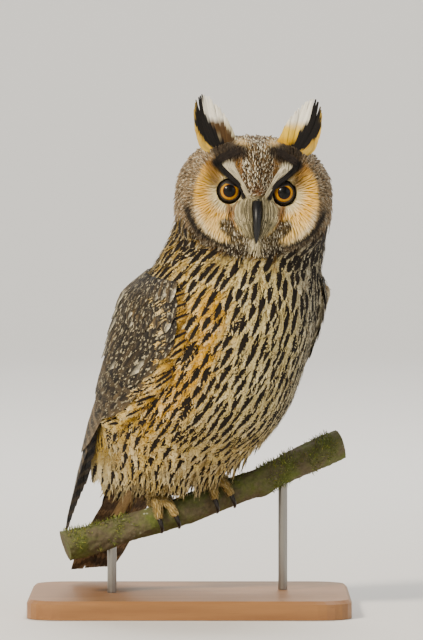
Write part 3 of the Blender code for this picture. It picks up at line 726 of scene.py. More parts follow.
def bodyTint(points):
    # colour, and how strong the dark flecks, the streaks, the fine lines and the pale flecks are
    t, a = bodySpot(points)
    tint = np.broadcast_to(shades(bodyColours["cream"]), (*t.shape, 3)).copy()
    tint = blendIn(tint, bodyColours["ochre"], 0.5 * ease(-12, -50, a) + 0.3 * ease(2.4, 1.0, t))
    tint = blendIn(tint, bodyColours["grey"], 0.85 * ease(8, 42, a) * ease(6.8, 4.8, t))
    middle = np.interp(t, (2.2, 3.0, 4.0, 4.6, 5.4, 6.4), (-31, -41, -46, -52, -60, -56))
    band = bump(a - middle, 9.0) * ease(1.9, 2.7, t) * ease(7.2, 6.0, t)
    glow = bump(a - middle + 14, 22.0) * ease(1.9, 2.9, t) * ease(7.4, 6.2, t)
    tint = blendIn(tint, bodyColours["orange"], 0.35 * glow)
    tint = blendIn(tint, bodyColours["orange"], 0.8 * band)
    tint = blendIn(tint, bodyColours["belly"], 0.7 * ease(4.8, 6.2, t) * (1 - 0.5 * ease(10, 45, a)))
    right, back, up = headSpot(points)
    under = bump(faceRing(right, up) - 1.08, 0.13) * ease(-16, -26, up) * ease(20, 6, back)
    tint = blendIn(tint, bodyColours["collar"], 0.95 * under)
    tint = blendIn(tint, bodyColours["collar"], 0.6 * ease(1.7, 0.9, t) * ease(85, 60, np.abs(a)))
    rear = ease(98, 126, np.abs(a)) * ease(9.7, 9.2, t)
    tint = blendIn(tint, bodyColours["nape"], rear * ease(2.2, 1.2, t))
    tint = blendIn(tint, bodyColours["mantle"], rear * ease(1.2, 2.2, t))
    tint = blendIn(tint, bodyColours["under"], 0.6 * ease(7.2, 8.2, t) * (1 - rear))
    # painted shade: the lower belly and the feathers that hang over the feet are darker
    tint = tint * (1 - 0.5 * ease(5.4, 7.4, t) * ease(85, 60, np.abs(a)))[..., None]
    # painted shade: darker on the bird's left side, away from the key light
    tint = tint * (1 - 0.28 * ease(25, 62, a) * ease(110, 80, a))[..., None]
    blotch = ease(2.1, 1.2, t) * (1 - rear)
    fleck = 0.12 + 0.65 * blotch + 0.75 * rear + 0.2 * ease(10, 45, a) * ease(6, 4, t)
    lines = 0.85 * (1 - rear) * (1 - 0.7 * blotch) * (1 - 0.6 * ease(6.6, 7.6, t))
    pale = 0.1 + 0.6 * rear * ease(1.2, 2.2, t) + 0.15 * blotch
    streak = 1.0 - 0.45 * ease(6.8, 7.8, t)
    return tint, fleck, streak, lines, pale


faceColours = {
    "rim": "8C7558", "outer": "F2BE62", "inner": "EADBB2", "low": "F3D38E", "olive": "94793F",
    "umber": "A06A28", "blackBrow": "0E0B09", "brownBrow": "17100B",
    "fringe": "F0E6CC", "black": "0E0B08", "smudge": "20170F", "fade": "6B4A28", "brow": "B5A988",
    "browTip": "E4DABD", "vee": "604A2E", "rust": "6A3D1A", "beard": "A79B76", "beardDark": "3A3425",
    "stripe": "7A4A20", "buff": "EBC27C", "crown": "87704E", "nape": "80694A", "chin": "D8C9A2",
    "collar": "33261A",
}
# lines on the face, as places to the side and up
faceLines = {
    "brow": ((5.5, 0.8), (11.0, 7.2), (15.2, 14.7), (21.5, 24.2)),
    "black": ((9.8, 1.0), (11.0, 5.6), (14.6, 11.8), (20.4, 16.0), (26.2, 21.6), (30.0, 27.0)),
    "smudge": ((12.7, 35.8), (20.5, 31.5), (30.0, 27.0)), "tuftRoot": ((20.0, 38.0), (30.0, 35.5)),
    "fade": ((34.0, 26.0), (30.5, 12.0)),
    "stripe": ((20.7, -5.0), (19.0, -13.0), (16.9, -20.3)),
    "speckle": ((22.5, -20.0), (20.5, -23.0), (12.6, -30.0), (4.2, -34.0)),
}


def heartWide(up):
    return np.interp(up, (-32, -26.6, -19, -13, -6, 0, 4), (0, 9.0, 15.5, 17.5, 18.0, 10.0, 4.0))


def nearFaceLine(name, right, up, half):
    far, _ = nearLine(np.abs(right), up, faceLines[name])
    return ease(1.3, 0.7, far / half)


def headTint(points):
    # colour, and how strong the dark and the pale flecks are
    right, back, up = headSpot(points)
    r = np.abs(right)
    ring = faceRing(right, up)
    front = ease(6, -6, back)
    tint = np.broadcast_to(shades(faceColours["rim"]), (*r.shape, 3)).copy()
    fleck, pale = np.full(r.shape, 0.7), np.full(r.shape, 0.42)

    def wash(name, share, dark=None, light=None):
        nonlocal tint, fleck, pale
        share = np.clip(share, 0, 1)
        tint = blendIn(tint, faceColours[name], share)
        if dark is not None:
            fleck = fleck + (dark - fleck) * share
        if light is not None:
            pale = pale + (light - pale) * share

    def along(name, half, thin=1.0, soft=0.45):
        far, share = nearLine(r, up, faceLines[name])
        return ease(1 + soft, 1 - soft, far / (half * (1 + (thin - 1) * share)))

    wash("collar", 0.8 * ease(-14, -28, up) * ease(1.02, 1.12, ring) * ease(26, 8, back), 0.6, 0.1)
    wash("nape", ease(0, 30, back) * ease(36, 20, up), 0.6, 0.2)
    wash("crown", ease(28, 38, up) * ease(-28, -14, back), 0.9, 0.85)
    disc = ease(1.02, 0.97, ring) * front
    wash("outer", disc, 0.03, 0.0)
    away = np.hypot(r - 21.5, up - 3.5)
    wash("inner", disc * 0.9 * ease(19, 10, away))
    wash("low", disc * 0.65 * ease(-6, -22, up))
    wash("olive", disc * 0.75 * bump(np.hypot(r - 33.0, up - 14.0), 7.0))
    wash("umber", disc * 0.85 * bump(np.hypot(r - 37.0, (up - 27.0) * 1.1), 9.0), 0.35)
    low = ease(-2, -12, up)
    wash("fringe", disc * 0.55 * low * ease(0.88, 0.98, ring), 0.25, 0.9)
    line = ease(1.5, 0.9, np.abs(ring - underLine(up)) / 0.045)
    line = line * ease(12, 0, back) * ease(-2, -10, up) * ease(12, 20, r)
    wash("black", 0.95 * line, 0.2, 0.0)
    veeShare = r / crestWide(up)
    vee = ease(1.12, 0.92, veeShare) * ease(-3, 1, up) * ease(12, -4, back)
    wash("rust", 0.8 * ease(1.75, 1.45, veeShare) * ease(6, 12, up) * ease(40, 34, up) * front, 0.9, 0.35)
    wash("vee", vee, 1.0, 1.0)
    wash("rust", 0.8 * bump(right - 1.0, 6.0) * bump(up - 4.5, 5.0) * front, 0.6, 0.2)
    wash("rust", 0.45 * bump(veeShare - 1.0, 0.13) * ease(6, 12, up) * ease(32, 24, up) * front)
    wash("buff", 0.95 * bump(np.hypot((r - 13.0) * 0.75, up - 41.5), 4.4) * ease(6, -4, back), 0.35, 0.5)
    # bristles round the bill, the rusty stripe outside them, the speckled chin
    heart = ease(1.1, 0.9, r / np.maximum(heartWide(up), 0.1)) * ease(4, 0, up) * front
    wash("beard", heart, 0.1, 0.1)
    wash("beardDark", heart * 0.75 * bump(r, 5.0))
    wash("stripe", along("stripe", 2.2) * 0.85 * front, 0.5, 0.1)
    speckle = np.maximum(along("speckle", 5.0, 0.9, 0.25), ease(24, 20, r) * ease(-31, -33, up)) * front
    wash("smudge", 0.9 * speckle, 0.8, 0.7)
    wash("chin", 0.9 * bump(right, 4.2) * ease(-30, -32.5, up) * front, 0.1, 0.3)
    # brows
    wash("fade", along("fade", 4.6, 0.8, 0.8) * 0.7 * front)
    wash("smudge", along("tuftRoot", 6.0, 0.8, 0.5) * 0.92 * ease(2, -8, back), 0.3, 0.0)
    wash("smudge", along("smudge", 5.4, 0.9, 0.4) * 0.97 * front, 0.3, 0.05)
    wash("black", along("black", 2.0, 1.9, 0.35) * 0.98 * front, 0.1, 0.0)
    wash("black", 0.85 * ease(9.0, 7.8, fromEye(r, up)) * front, 0.0, 0.0)
    far, share = nearLine(r, up, faceLines["brow"])
    brow = ease(1.25, 0.85, far / (1.1 + 3.0 * share**1.8)) * ease(28.5, 26.0, up) * front
    wash("brow", brow, 0.05, 0.0)
    wash("browTip", brow * ease(0.6, 0.95, share))
    return tint, fleck, pale


def coatTint(points):
    share = headShare(points)
    tint, fleck, streak, lines, pale = bodyTint(points)
    tintHead, fleckHead, paleHead = headTint(points)
    return (
        tint + (tintHead - tint) * share[..., None], fleck + (fleckHead - fleck) * share,
        streak * (1 - share), lines * (1 - share), pale + (paleHead - pale) * share,
    )


# Feathers as closed blades, made many at a time

bakePatch = 0.003


def bakeSpot(points):
    # place on an unwrap of the skin's own shape: round it, and up it
    right, back, up = headSpot(points)
    t, a = bodySpot(points)
    bodyU, bodyV = (a + 180) / 360, 0.02 + 0.56 * (1 - np.clip(t / 9.8, 0, 1))
    rise = np.degrees(np.arctan2(up, np.hypot(right, back)))
    headU = (np.degrees(np.arctan2(right, -back)) + 180) / 360
    headV = 0.6 + 0.38 * (rise + 90) / 180
    isHead = headShare(points) > 0.5
    return np.stack([np.where(isHead, headU, bodyU), np.where(isHead, headV, bodyV)], -1)


def curve(first, middle, last, rows):
    # rows of places on smooth curves through three places each
    x = np.linspace(0, 1, rows)[None, :, None]
    weights = (2 * (x - 0.5) * (x - 1), 4 * x * (1 - x), 2 * x * (x - 0.5))
    return sum(w * np.asarray(p)[:, None] for w, p in zip(weights, (first, middle, last)))


def blades(path, ups, left, right, thick, camber):
    # path and ups are (feather, row, 3); left and right half widths are (feather, row)
    ahead = unit(np.gradient(path, axis=1))
    across = unit(np.cross(ups, ahead))
    ups = unit(np.cross(ahead, across))
    taper = np.linspace(1.0, 0.4, path.shape[1])[None, :, None]
    half = 0.5 * thick * taper * np.ones_like(left)[..., None]
    sag = camber * 0.5 * (left + right)[..., None]
    points = np.stack([
        path + across * left[..., None] - ups * sag,
        path + ups * half,
        path - across * right[..., None] - ups * sag,
        path - ups * half,
    ], axis=2)
    run = np.concatenate([
        np.zeros((len(path), 1)), np.cumsum(np.linalg.norm(np.diff(path, axis=1), axis=-1), axis=1)
    ], axis=1)
    flatAcross = np.stack([left, 0 * left, -right, 0 * left], -1)
    return {
        "points": points, "across": flatAcross, "along": np.repeat(run[..., None], 4, -1),
        "path": path, "ups": ups, "side": across, "halves": (left, right), "sag": sag[..., 0],
    }


softShape = {
    "plume": (0.3, 0.72, 0.95, 1.0, 0.94, 0.72, 0.16),
    "barb": (0.55, 1.0, 0.9, 0.12),
    "bristle": (0.7, 1.0, 0.75, 0.1),
}


def lay(
    roots, flow, length, half, lifts, shape="barb", ground=None, thick=0.3, camber=0.2, ragged=0.12, droop=0.0
):
    # feathers that lie on the ground surface from their roots along the flow, or hang free by the droop
    ground = ground or surface
    count = len(roots)
    length = np.broadcast_to(length, count).astype(float)
    half = np.broadcast_to(half, count).astype(float)
    base, up0 = onSurface(roots, ground)
    way = unit(flow - up0 * (flow * up0).sum(-1, keepdims=True))
    middle, up1 = onSurface(base + way * length[:, None] * 0.5, ground)
    onward = middle - base
    onward = unit(onward - up1 * (onward * up1).sum(-1, keepdims=True))
    tip, up2 = onSurface(middle + onward * length[:, None] * 0.5, ground)
    droop = np.broadcast_to(droop, count)[:, None]
    free = middle + unit(onward * 0.6 + np.array([0.0, 0.0, -1.0])) * length[:, None] * 0.5
    tip, up2 = tip + (free - tip) * droop, unit(up2 + (up1 - up2) * droop)
    profile = np.array(softShape[shape])
    l0, l1, l2 = (np.broadcast_to(v, count)[:, None] for v in lifts)
    path = curve(base + up0 * l0, middle + up1 * l1, tip + up2 * l2, len(profile))
    ups = unit(curve(up0, up1, up2, len(profile)))
    sides = [
        half[:, None] * profile * (1 + ragged * dice.standard_normal((count, len(profile)))) for _ in range(2)
    ]
    made = blades(path, ups, sides[0], sides[1], thick, camber)
    made["root"] = base
    return made


def pickRows(values, share):
    # values kept for each row of each feather, read at any share of its length
    last = values.shape[1] - 1
    low = np.clip(np.floor(share * last), 0, last - 1).astype(int)
    part = share * last - low
    n = np.arange(len(values)).reshape(-1, *([1] * (share.ndim - 1)))
    part = part.reshape(*part.shape, *([1] * (values.ndim - 2)))
    return values[n, low] * (1 - part) + values[n, low + 1] * part


def barbs(made, perSide, wide, reach=0.22, over=1.12, lift=0.16, steps=3):
    # thin strips that leave the shaft slantwise to both sides and fray its edges
    n = len(made["path"])
    q = np.linspace(0, 1, steps)
    stacks = {"path": [], "ups": [], "share": [], "x": []}
    for sign, half in zip((1, -1), made["halves"]):
        start = np.linspace(0.04, 0.84, perSide) + dice.normal(0, 0.02, (n, perSide))
        share = start[..., None] + reach * dice.uniform(0.8, 1.25, (n, perSide, 1)) * q
        share = np.clip(share, 0, 1.05)
        out = over * dice.uniform(0.86, 1.12, (n, perSide, 1)) * np.sin(q * 1.5)
        x = sign * out * pickRows(half, np.minimum(share, 0.93))
        up = pickRows(made["ups"], share)
        spots = pickRows(made["path"], share) + pickRows(made["side"], share) * x[..., None]
        spots = spots + up * (lift - pickRows(made["sag"], share) * out**2)[..., None]
        for key, value in (("path", spots), ("ups", up), ("share", share), ("x", x)):
            stacks[key].append(value)
    joined = {key: np.concatenate(value, axis=1).reshape(-1, steps, *value[0].shape[3:])
              for key, value in stacks.items()}
    half = wide * np.interp(q, (0, 0.5, 1), (0.8, 1.0, 0.15)) * np.ones((len(joined["path"]), 1))
    strips = blades(joined["path"], joined["ups"], half, half, 0.2, 0.0)
    owner = np.repeat(np.arange(n), perSide * 2)
    length = made["along"].max(axis=(1, 2))[owner][:, None, None]
    strips["across"] = joined["x"][..., None] + 0 * strips["across"]
    strips["along"] = joined["share"][..., None] * length + 0 * strips["along"]
    strips.update(root=made["root"][owner], owner=owner, share=joined["share"], x=joined["x"])
    return strips


def dress(made, tint, streak, fleck, bars=0.0, pale=0.0, chance=None):
    # colours for each feather, row or corner
    n, rows = made["points"].shape[:2]

    def spread(values, extra=()):
        values = np.asarray(values, float)
        while values.ndim < 3 + len(extra):
            values = np.expand_dims(values, axis=values.ndim - len(extra))
        return np.broadcast_to(values, (n, rows, 4, *extra))

    made["tint"] = spread(tint, (3,))
    made["mark"] = np.stack([spread(streak), spread(fleck), spread(bars), spread(pale)], -1)
    chance = dice.random(n) if chance is None else chance
    chance = np.broadcast_to(chance[:, None, None], (n, rows, 4))
    made["blade"] = np.stack([made["across"], made["along"], chance], -1)
    return made


def bakeMap(made):
    root = bakeSpot(made["root"])[:, None, None, :]
    size = np.maximum(np.abs(made["across"]).max(axis=(1, 2), keepdims=True), 0.1)
    far = np.maximum(made["along"].max(axis=(1, 2), keepdims=True), 0.1)
    local = np.stack([made["across"] / size * 0.5, made["along"] / far - 0.5], -1)
    return np.clip(root + local * bakePatch, 0, 1)


def coatPiece(name, batches, material, nodes=(), mostTriangles=190000):
    # joins batches of feathers, in pieces small enough for their files, from the top down
    stacks = {"points": [], "tint": [], "mark": [], "blade": [], "bake": [], "quads": [], "height": []}
    total = 0
    for batch in batches:
        n, rows = batch["points"].shape[:2]
        per = rows * 4
        ring = np.arange(4)
        quads = []
        for i in range(rows - 1):
            for k in range(4):
                m = (k + 1) % 4
                quads.append((4 * i + k, 4 * i + m, 4 * i + 4 + m, 4 * i + 4 + k))
        quads = np.array([*quads, (3, 2, 1, 0), tuple(4 * (rows - 1) + ring)])
        starts = total + np.arange(n)[:, None, None] * per
        stacks["quads"].append((quads[None] + starts).reshape(n, -1))
        stacks["height"].append(batch["root"][:, 2])
        for key, width in (("points", 3), ("tint", 3), ("mark", 4), ("blade", 3)):
            stacks[key].append(batch[key].reshape(-1, width))
        stacks["bake"].append(bakeMap(batch).reshape(-1, 2))
        total += n * per
    corners = {key: np.concatenate(stacks[key]) for key in ("points", "tint", "mark", "blade", "bake")}
    faces = [(h, q) for heights, rows in zip(stacks["height"], stacks["quads"]) for h, q in zip(heights, rows)]
    faces.sort(key=lambda item: -item[0])
    groups, group, size = [], [], 0
    for _, q in faces:
        if size + len(q) // 2 > mostTriangles:
            groups.append(group)
            group, size = [], 0
        group.append(q)
        size += len(q) // 2
    groups.append(group)
    for number, group in enumerate(groups):
        quads = np.concatenate(group).reshape(-1, 4)
        used, quads = np.unique(quads, return_inverse=True)
        quads = quads.reshape(-1, 4)
        piece = name if len(groups) == 1 else f"{name}_{number + 1}"
        mesh = bpy.data.meshes.new(piece)
        mesh.vertices.add(len(used))
        mesh.vertices.foreach_set("co", (corners["points"][used] * mm).astype(np.float32).ravel())
        mesh.loops.add(quads.size)
        mesh.loops.foreach_set("vertex_index", quads.astype(np.int32).ravel())
        mesh.polygons.add(len(quads))
        mesh.polygons.foreach_set("loop_start", np.arange(0, quads.size, 4, dtype=np.int32))
        mesh.update(calc_edges=True)
        for key in ("tint", "mark", "blade"):
            storeColours(mesh, key, corners[key][used])
        uv = mesh.uv_layers.new(name="OFBake")
        uv.data.foreach_set("uv", corners["bake"][used][quads.ravel()].astype(np.float32).ravel())
        mesh.shade_smooth()
        mesh.set_sharp_from_angle(angle=math.radians(75))
        settle(linked(piece, mesh), nodes, material)
    say(f"{name}: {len(faces)} feathers, {sum(len(q) // 2 for _, q in faces)} triangles")


# Skin colours and unwrap

def paintSkin():
    # darker than the feathers, so that it reads as the shade between them
    mesh = skin.data
    spots = vertexSpots(mesh) / mm
    tint, fleck, streak, lines, pale = coatTint(spots)
    storeColours(mesh, "tint", tint * 0.7)
    storeColours(mesh, "mark", np.stack([streakAt(spots) * streak, fleck, lines, pale], -1))
    storeColours(mesh, "blade", np.stack([spots[:, 0], spots[:, 2], np.full(len(spots), 0.5)], -1))
    loops = np.empty(len(mesh.loops), np.int32)
    mesh.loops.foreach_get("vertex_index", loops)
    flat = bakeSpot(spots)[loops].reshape(-1, 4, 2)
    # a face over the seam keeps to one side of it
    wrap = flat[..., 0].max(axis=1) - flat[..., 0].min(axis=1) > 0.5
    flat[wrap, :, 0] = np.where(flat[wrap, :, 0] < 0.5, flat[wrap, :, 0] + 1, flat[wrap, :, 0])
    uv = mesh.uv_layers.new(name="OFBake")
    uv.data.foreach_set("uv", np.clip(flat, 0, 1).astype(np.float32).ravel())
    settle(skin, ("head", "neck", "torso", "belly"), coatMaterial)


def underWing(points, margin=0.0):
    # places that a folded wing covers
    t, a = bodySpot(points)
    along = np.interp(t, guideStations, guideLengths)
    front, back = wingEdges(along)
    r = np.abs(a)
    return (r > front + 6 + margin) & (r < back - 2) & (along > 12) & (along < 140)


# Breast, belly, flanks, throat and back

bodyCoat = {
    "underMm": 6.4, "underLength": (17.0, 22.0), "underHalf": 4.7,
    "wispMm": 3.4, "wispLength": (8.0, 13.0), "wispHalf": 0.42, "skirt": 9.0, "flankCount": 60,
}


def hang(points):
    # the belly's lowest feathers hang free over the feet
    t, a = bodySpot(points)
    return ease(4.9, 5.8, t) * ease(8.0, 7.2, t) * ease(75, 45, np.abs(a + 5))


def paintPlumes(made, barbed, stripe):
    # the same colours on the vanes and on their barbs
    tint, fleck, streak, lines, pale = coatTint(made["path"])
    n, rows = tint.shape[:2]
    # brown towards the root, pale near the tip, and painted shade towards the root, where the next feather lies
    # over it
    x = np.linspace(0, 1, rows)[None, :] + np.zeros((n, 1))
    tint = blendIn(tint, bodyColours["shaft"], 0.55 * ease(0.62, 0.3, x) * (lines > 0.2))
    paler = 0.5 * ease(0.55, 0.85, x) * dice.uniform(0.2, 1.0, (n, 1))
    tint = blendIn(tint, bodyColours["tip"], paler * (lines > 0.2))
    # painted shade: darker towards the root
    tint = tint * (0.4 + 0.6 * ease(0.05, 0.55, x))[..., None]
    wide = stripe[:, None] * np.array(streakLook["shape"])
    mark = 0.5 + (wide[..., None] - np.abs(made["across"])) / 6.0
    mark = np.clip(mark, 0, 1) * (stripe > 0)[:, None, None] * (streak[..., None] > 0.4)
    chance = dice.random(n)
    dress(made, tint, mark, fleck, lines, pale, chance)
    owner = barbed["owner"]

    def readRows(values):
        return pickRows(values[owner], np.minimum(barbed["share"], 1))

    stripes = 0.5 + (readRows(wide) - np.abs(barbed["x"])) / 6.0
    stripes = np.clip(stripes, 0, 1) * (stripe[owner] > 0)[:, None] * (readRows(streak) > 0.4)
    bright = 1 + 0.07 * dice.standard_normal((len(owner), 1, 1))
    dress(
        barbed, np.clip(readRows(tint) * bright, 0, 1), stripes, readRows(fleck), readRows(lines),
        readRows(pale), chance[owner],
    )
    return [made, barbed]


def streakedPlumes():
    t, a = streakRoots.T
    roots = streakPlaces
    # behind the wings' front edges there are no streaked feathers but on the mantle
    keep = ~underWing(roots, 10) & (headShare(roots) < 0.9) & (t < 8.3)
    roots, t, a = roots[keep], t[keep], a[keep]
    step = np.interp(t, streakLook["station"], streakLook["along"])
    length = np.interp(t, (0, 2, 4), (2.05, 1.95, 1.8)) * step * dice.uniform(0.9, 1.12, len(roots))
    length = length + bodyCoat["skirt"] * hang(roots)
    half = 0.62 * np.interp(t, streakLook["station"], streakLook["across"])
    flow = coatFlow(roots) + 0.05 * dice.standard_normal((len(roots), 3))
    made = lay(
        roots, flow, length, half, (-0.8, 1.3, 2.3), shape="plume", thick=0.4, camber=0.16, ragged=0.05,
        droop=hang(roots),
    )
    stripe = np.interp(t, streakLook["station"], streakLook["wide"]) * dice.uniform(0.8, 1.15, len(roots))
    stripe = stripe * (1 + 0.15 * ease(0, 40, a)) * np.where(np.abs(a) > 100, 0.8, 1.0)
    gatherStreaks(made, stripe)
    return paintPlumes(made, barbs(made, 11, 0.55, steps=4), stripe)


def plainPlumes():
    roots = scatter(surface, bodyCoat["underMm"], lambda p: (headShare(p) < 0.7) & ~underWing(p, 14))
    count = len(roots)
    length = dice.uniform(*bodyCoat["underLength"], count) + bodyCoat["skirt"] * hang(roots)
    small = 1 - 0.35 * ease(1.4, 0.6, bodySpot(roots)[0])
    flow = coatFlow(roots) + 0.07 * dice.standard_normal((count, 3))
    made = lay(
        roots, flow, length * small, bodyCoat["underHalf"] * small, (-1.2, 0.5, 1.3), shape="plume", thick=0.4,
        camber=0.16, ragged=0.05, droop=hang(roots),
    )
    return paintPlumes(made, barbs(made, 7, 0.6), np.zeros(count))


def flankPlumes():
    # long loose feathers that come over the wings' front edges
    spots, flows = [], []
    for side in (-1, 1):
        along = dice.uniform(4 if side < 0 else 70, 112, bodyCoat["flankCount"])
        front, _ = wingEdges(along)
        t = np.interp(along, guideLengths, guideStations)
        a = side * (front + dice.uniform(-9, 1, len(along)))
        spots.append(onBody(t, a))
        back = onBody(t, a + 3 * side) - onBody(t, a)
        flows.append(unit(back) * dice.uniform(0.35, 0.8, (len(along), 1)) + bodyFlow(spots[-1]))
    roots, flow = np.concatenate(spots), np.concatenate(flows)
    count = len(roots)
    made = lay(
        roots, unit(flow), dice.uniform(15, 24, count), 2.6, (1.0, 4.6, 6.4 + dice.uniform(-0.6, 0.6, count)),
        shape="plume", thick=0.3, camber=0.2, ragged=0.08,
    )
    stripe = 1.2 * (dice.random(count) > 0.35)
    return paintPlumes(made, barbs(made, 9, 0.4, over=1.5, steps=4), stripe)


def bodyWisps():
    # loose barbs over the plumes that soften their edges
    roots = scatter(surface, bodyCoat["wispMm"], lambda p: (headShare(p) < 0.6) & ~underWing(p, 6))
    count = len(roots)
    flow = coatFlow(roots) + 0.18 * dice.standard_normal((count, 3))
    length = dice.uniform(*bodyCoat["wispLength"], count)
    loft = np.abs(dice.normal(0, 0.4, count))
    made = lay(
        roots, flow, length, bodyCoat["wispHalf"], (0.4, 2.0 + loft, 2.4 + 1.2 * loft), thick=0.25, camber=0.2,
        droop=0.6 * hang(roots),
    )
    tint, fleck, streak, lines, pale = coatTint(made["path"])
    bright = 1 + 0.09 * dice.standard_normal((count, 1, 1))
    return dress(made, np.clip(tint * bright, 0, 1), streakAt(made["path"]) * streak, fleck, lines, pale)


say("body")
plumeBatches = streakedPlumes()
paintSkin()
coatPiece("breast_streaked", plumeBatches, coatMaterial)
coatPiece("breast_plumes", [*plainPlumes(), *flankPlumes()], coatMaterial)
coatPiece("breast_wisps", [bodyWisps()], coatMaterial)

# Head: disc, rim, forehead, crown and nape

headCoat = {
    "discMm": 1.35, "discLength": (6.0, 9.0), "discHalf": 0.55,
    "crownMm": 1.8, "crownLength": (5.5, 8.5), "crownHalf": 0.95,
}


def eyeClear(points, size=8.8):
    right, back, up = headSpot(points)
    return (fromEye(right, up) > size) | (back > -10)


def headBatch(roots, length, half, lifts, shape, wander, rootShade):
    count = len(roots)
    flow = coatFlow(roots) + wander * dice.standard_normal((count, 3))
    made = lay(roots, flow, length, half, lifts, shape=shape, thick=0.24)
    tint, fleck, pale = headTint(made["path"])
    # painted shade and light: each tuft darker at its root, where the next ones lie over it, and a little
    # lighter at its tip
    shade = np.linspace(1 - rootShade, 1.04, tint.shape[1])[None, :, None]
    tint = tint * shade * (1 + 0.07 * dice.standard_normal((count, 1, 1)))
    return dress(made, np.clip(tint, 0, 1), 0.0, fleck, 0.0, pale)


def faceTufts():
    def keep(p):
        right, back, up = headSpot(p)
        return (headShare(p) > 0.4) & (faceRing(right, up) < 1.16) & (back < -4) & eyeClear(p)
    roots = scatter(surface, headCoat["discMm"], keep)
    count = len(roots)
    right, back, up = headSpot(roots)
    near = np.minimum(fromEye(right, up) / 22.0, 1)
    length = dice.uniform(*headCoat["discLength"], count) * (0.6 + 0.4 * near)
    chin = nearFaceLine("speckle", right, up, 5.0)
    lift = 0.9 + 0.5 * dice.random(count) + 0.9 * chin
    return headBatch(roots, length, headCoat["discHalf"], (-0.2, lift, lift + 0.5), "bristle", 0.07, 0.16)


def crownTufts():
    def keep(p):
        right, back, up = headSpot(p)
        return (headShare(p) > 0.4) & ((faceRing(right, up) > 1.1) | (back > -8)) & eyeClear(p)
    roots = scatter(surface, headCoat["crownMm"], keep)
    count = len(roots)
    length = dice.uniform(*headCoat["crownLength"], count)
    loft = np.abs(dice.normal(0, 0.4, count))
    half = headCoat["crownHalf"] * dice.uniform(0.75, 1.25, count)
    return headBatch(roots, length, half, (-0.4, 1.4 + loft, 2.2 + 1.3 * loft), "barb", 0.1, 0.26)


# Brows, bristles and ear tufts are strands drawn on the face

def onFace(right, up):
    # where a look from the front meets the face, as its depth and the face's slope
    flatR, flatU = np.ravel(right), np.ravel(up)
    depth = np.empty(flatR.shape)
    ahead = Vector(inHead(0, 1, 0) - inHead(0, 0, 0))
    starts = inHead(flatR, -90.0, flatU)
    for i, start in enumerate(starts):
        spot = surface["tree"].ray_cast(start, ahead)[0]
        depth[i] = headSpot(np.array(spot))[1] if spot else -10.0
    return depth.reshape(np.shape(right))


def strands(side, spots, lifts, half, shape, depth=None, thick=0.25, tilt=0.0):
    # spots are (strand, row, 2) to the side and up; lifts are in front of the face or of a given depth
    right, up = side * spots[..., 0], spots[..., 1]
    back = (onFace(right, up) if depth is None else depth) - lifts
    path = inHead(right, back, up)
    look = inHead(side * tilt, -1.0, 0.25) - headCentre
    ups = unit(np.broadcast_to(look, path.shape))
    profile = np.interp(np.linspace(0, 1, spots.shape[1]), np.linspace(0, 1, len(shape)), shape)
    halves = np.broadcast_to(half, len(spots))[:, None] * profile
    rough = 1 + 0.08 * dice.standard_normal((2, *halves.shape))
    made = blades(path, ups, halves * rough[0], halves * rough[1], thick, 0.2)
    made["root"] = path[:, 0]
    return made


def onLine(line, share):
    line = np.asarray(line, float)
    at = np.linspace(0, 1, len(line))
    return np.stack([np.interp(share, at, line[:, 0]), np.interp(share, at, line[:, 1])], -1)


browLook = {
    "whiteCount": 60, "blackCount": 110, "bristleCount": 230, "chinCount": 48,
    "strandShape": (0.7, 1.0, 0.9, 0.6, 0.12),
}


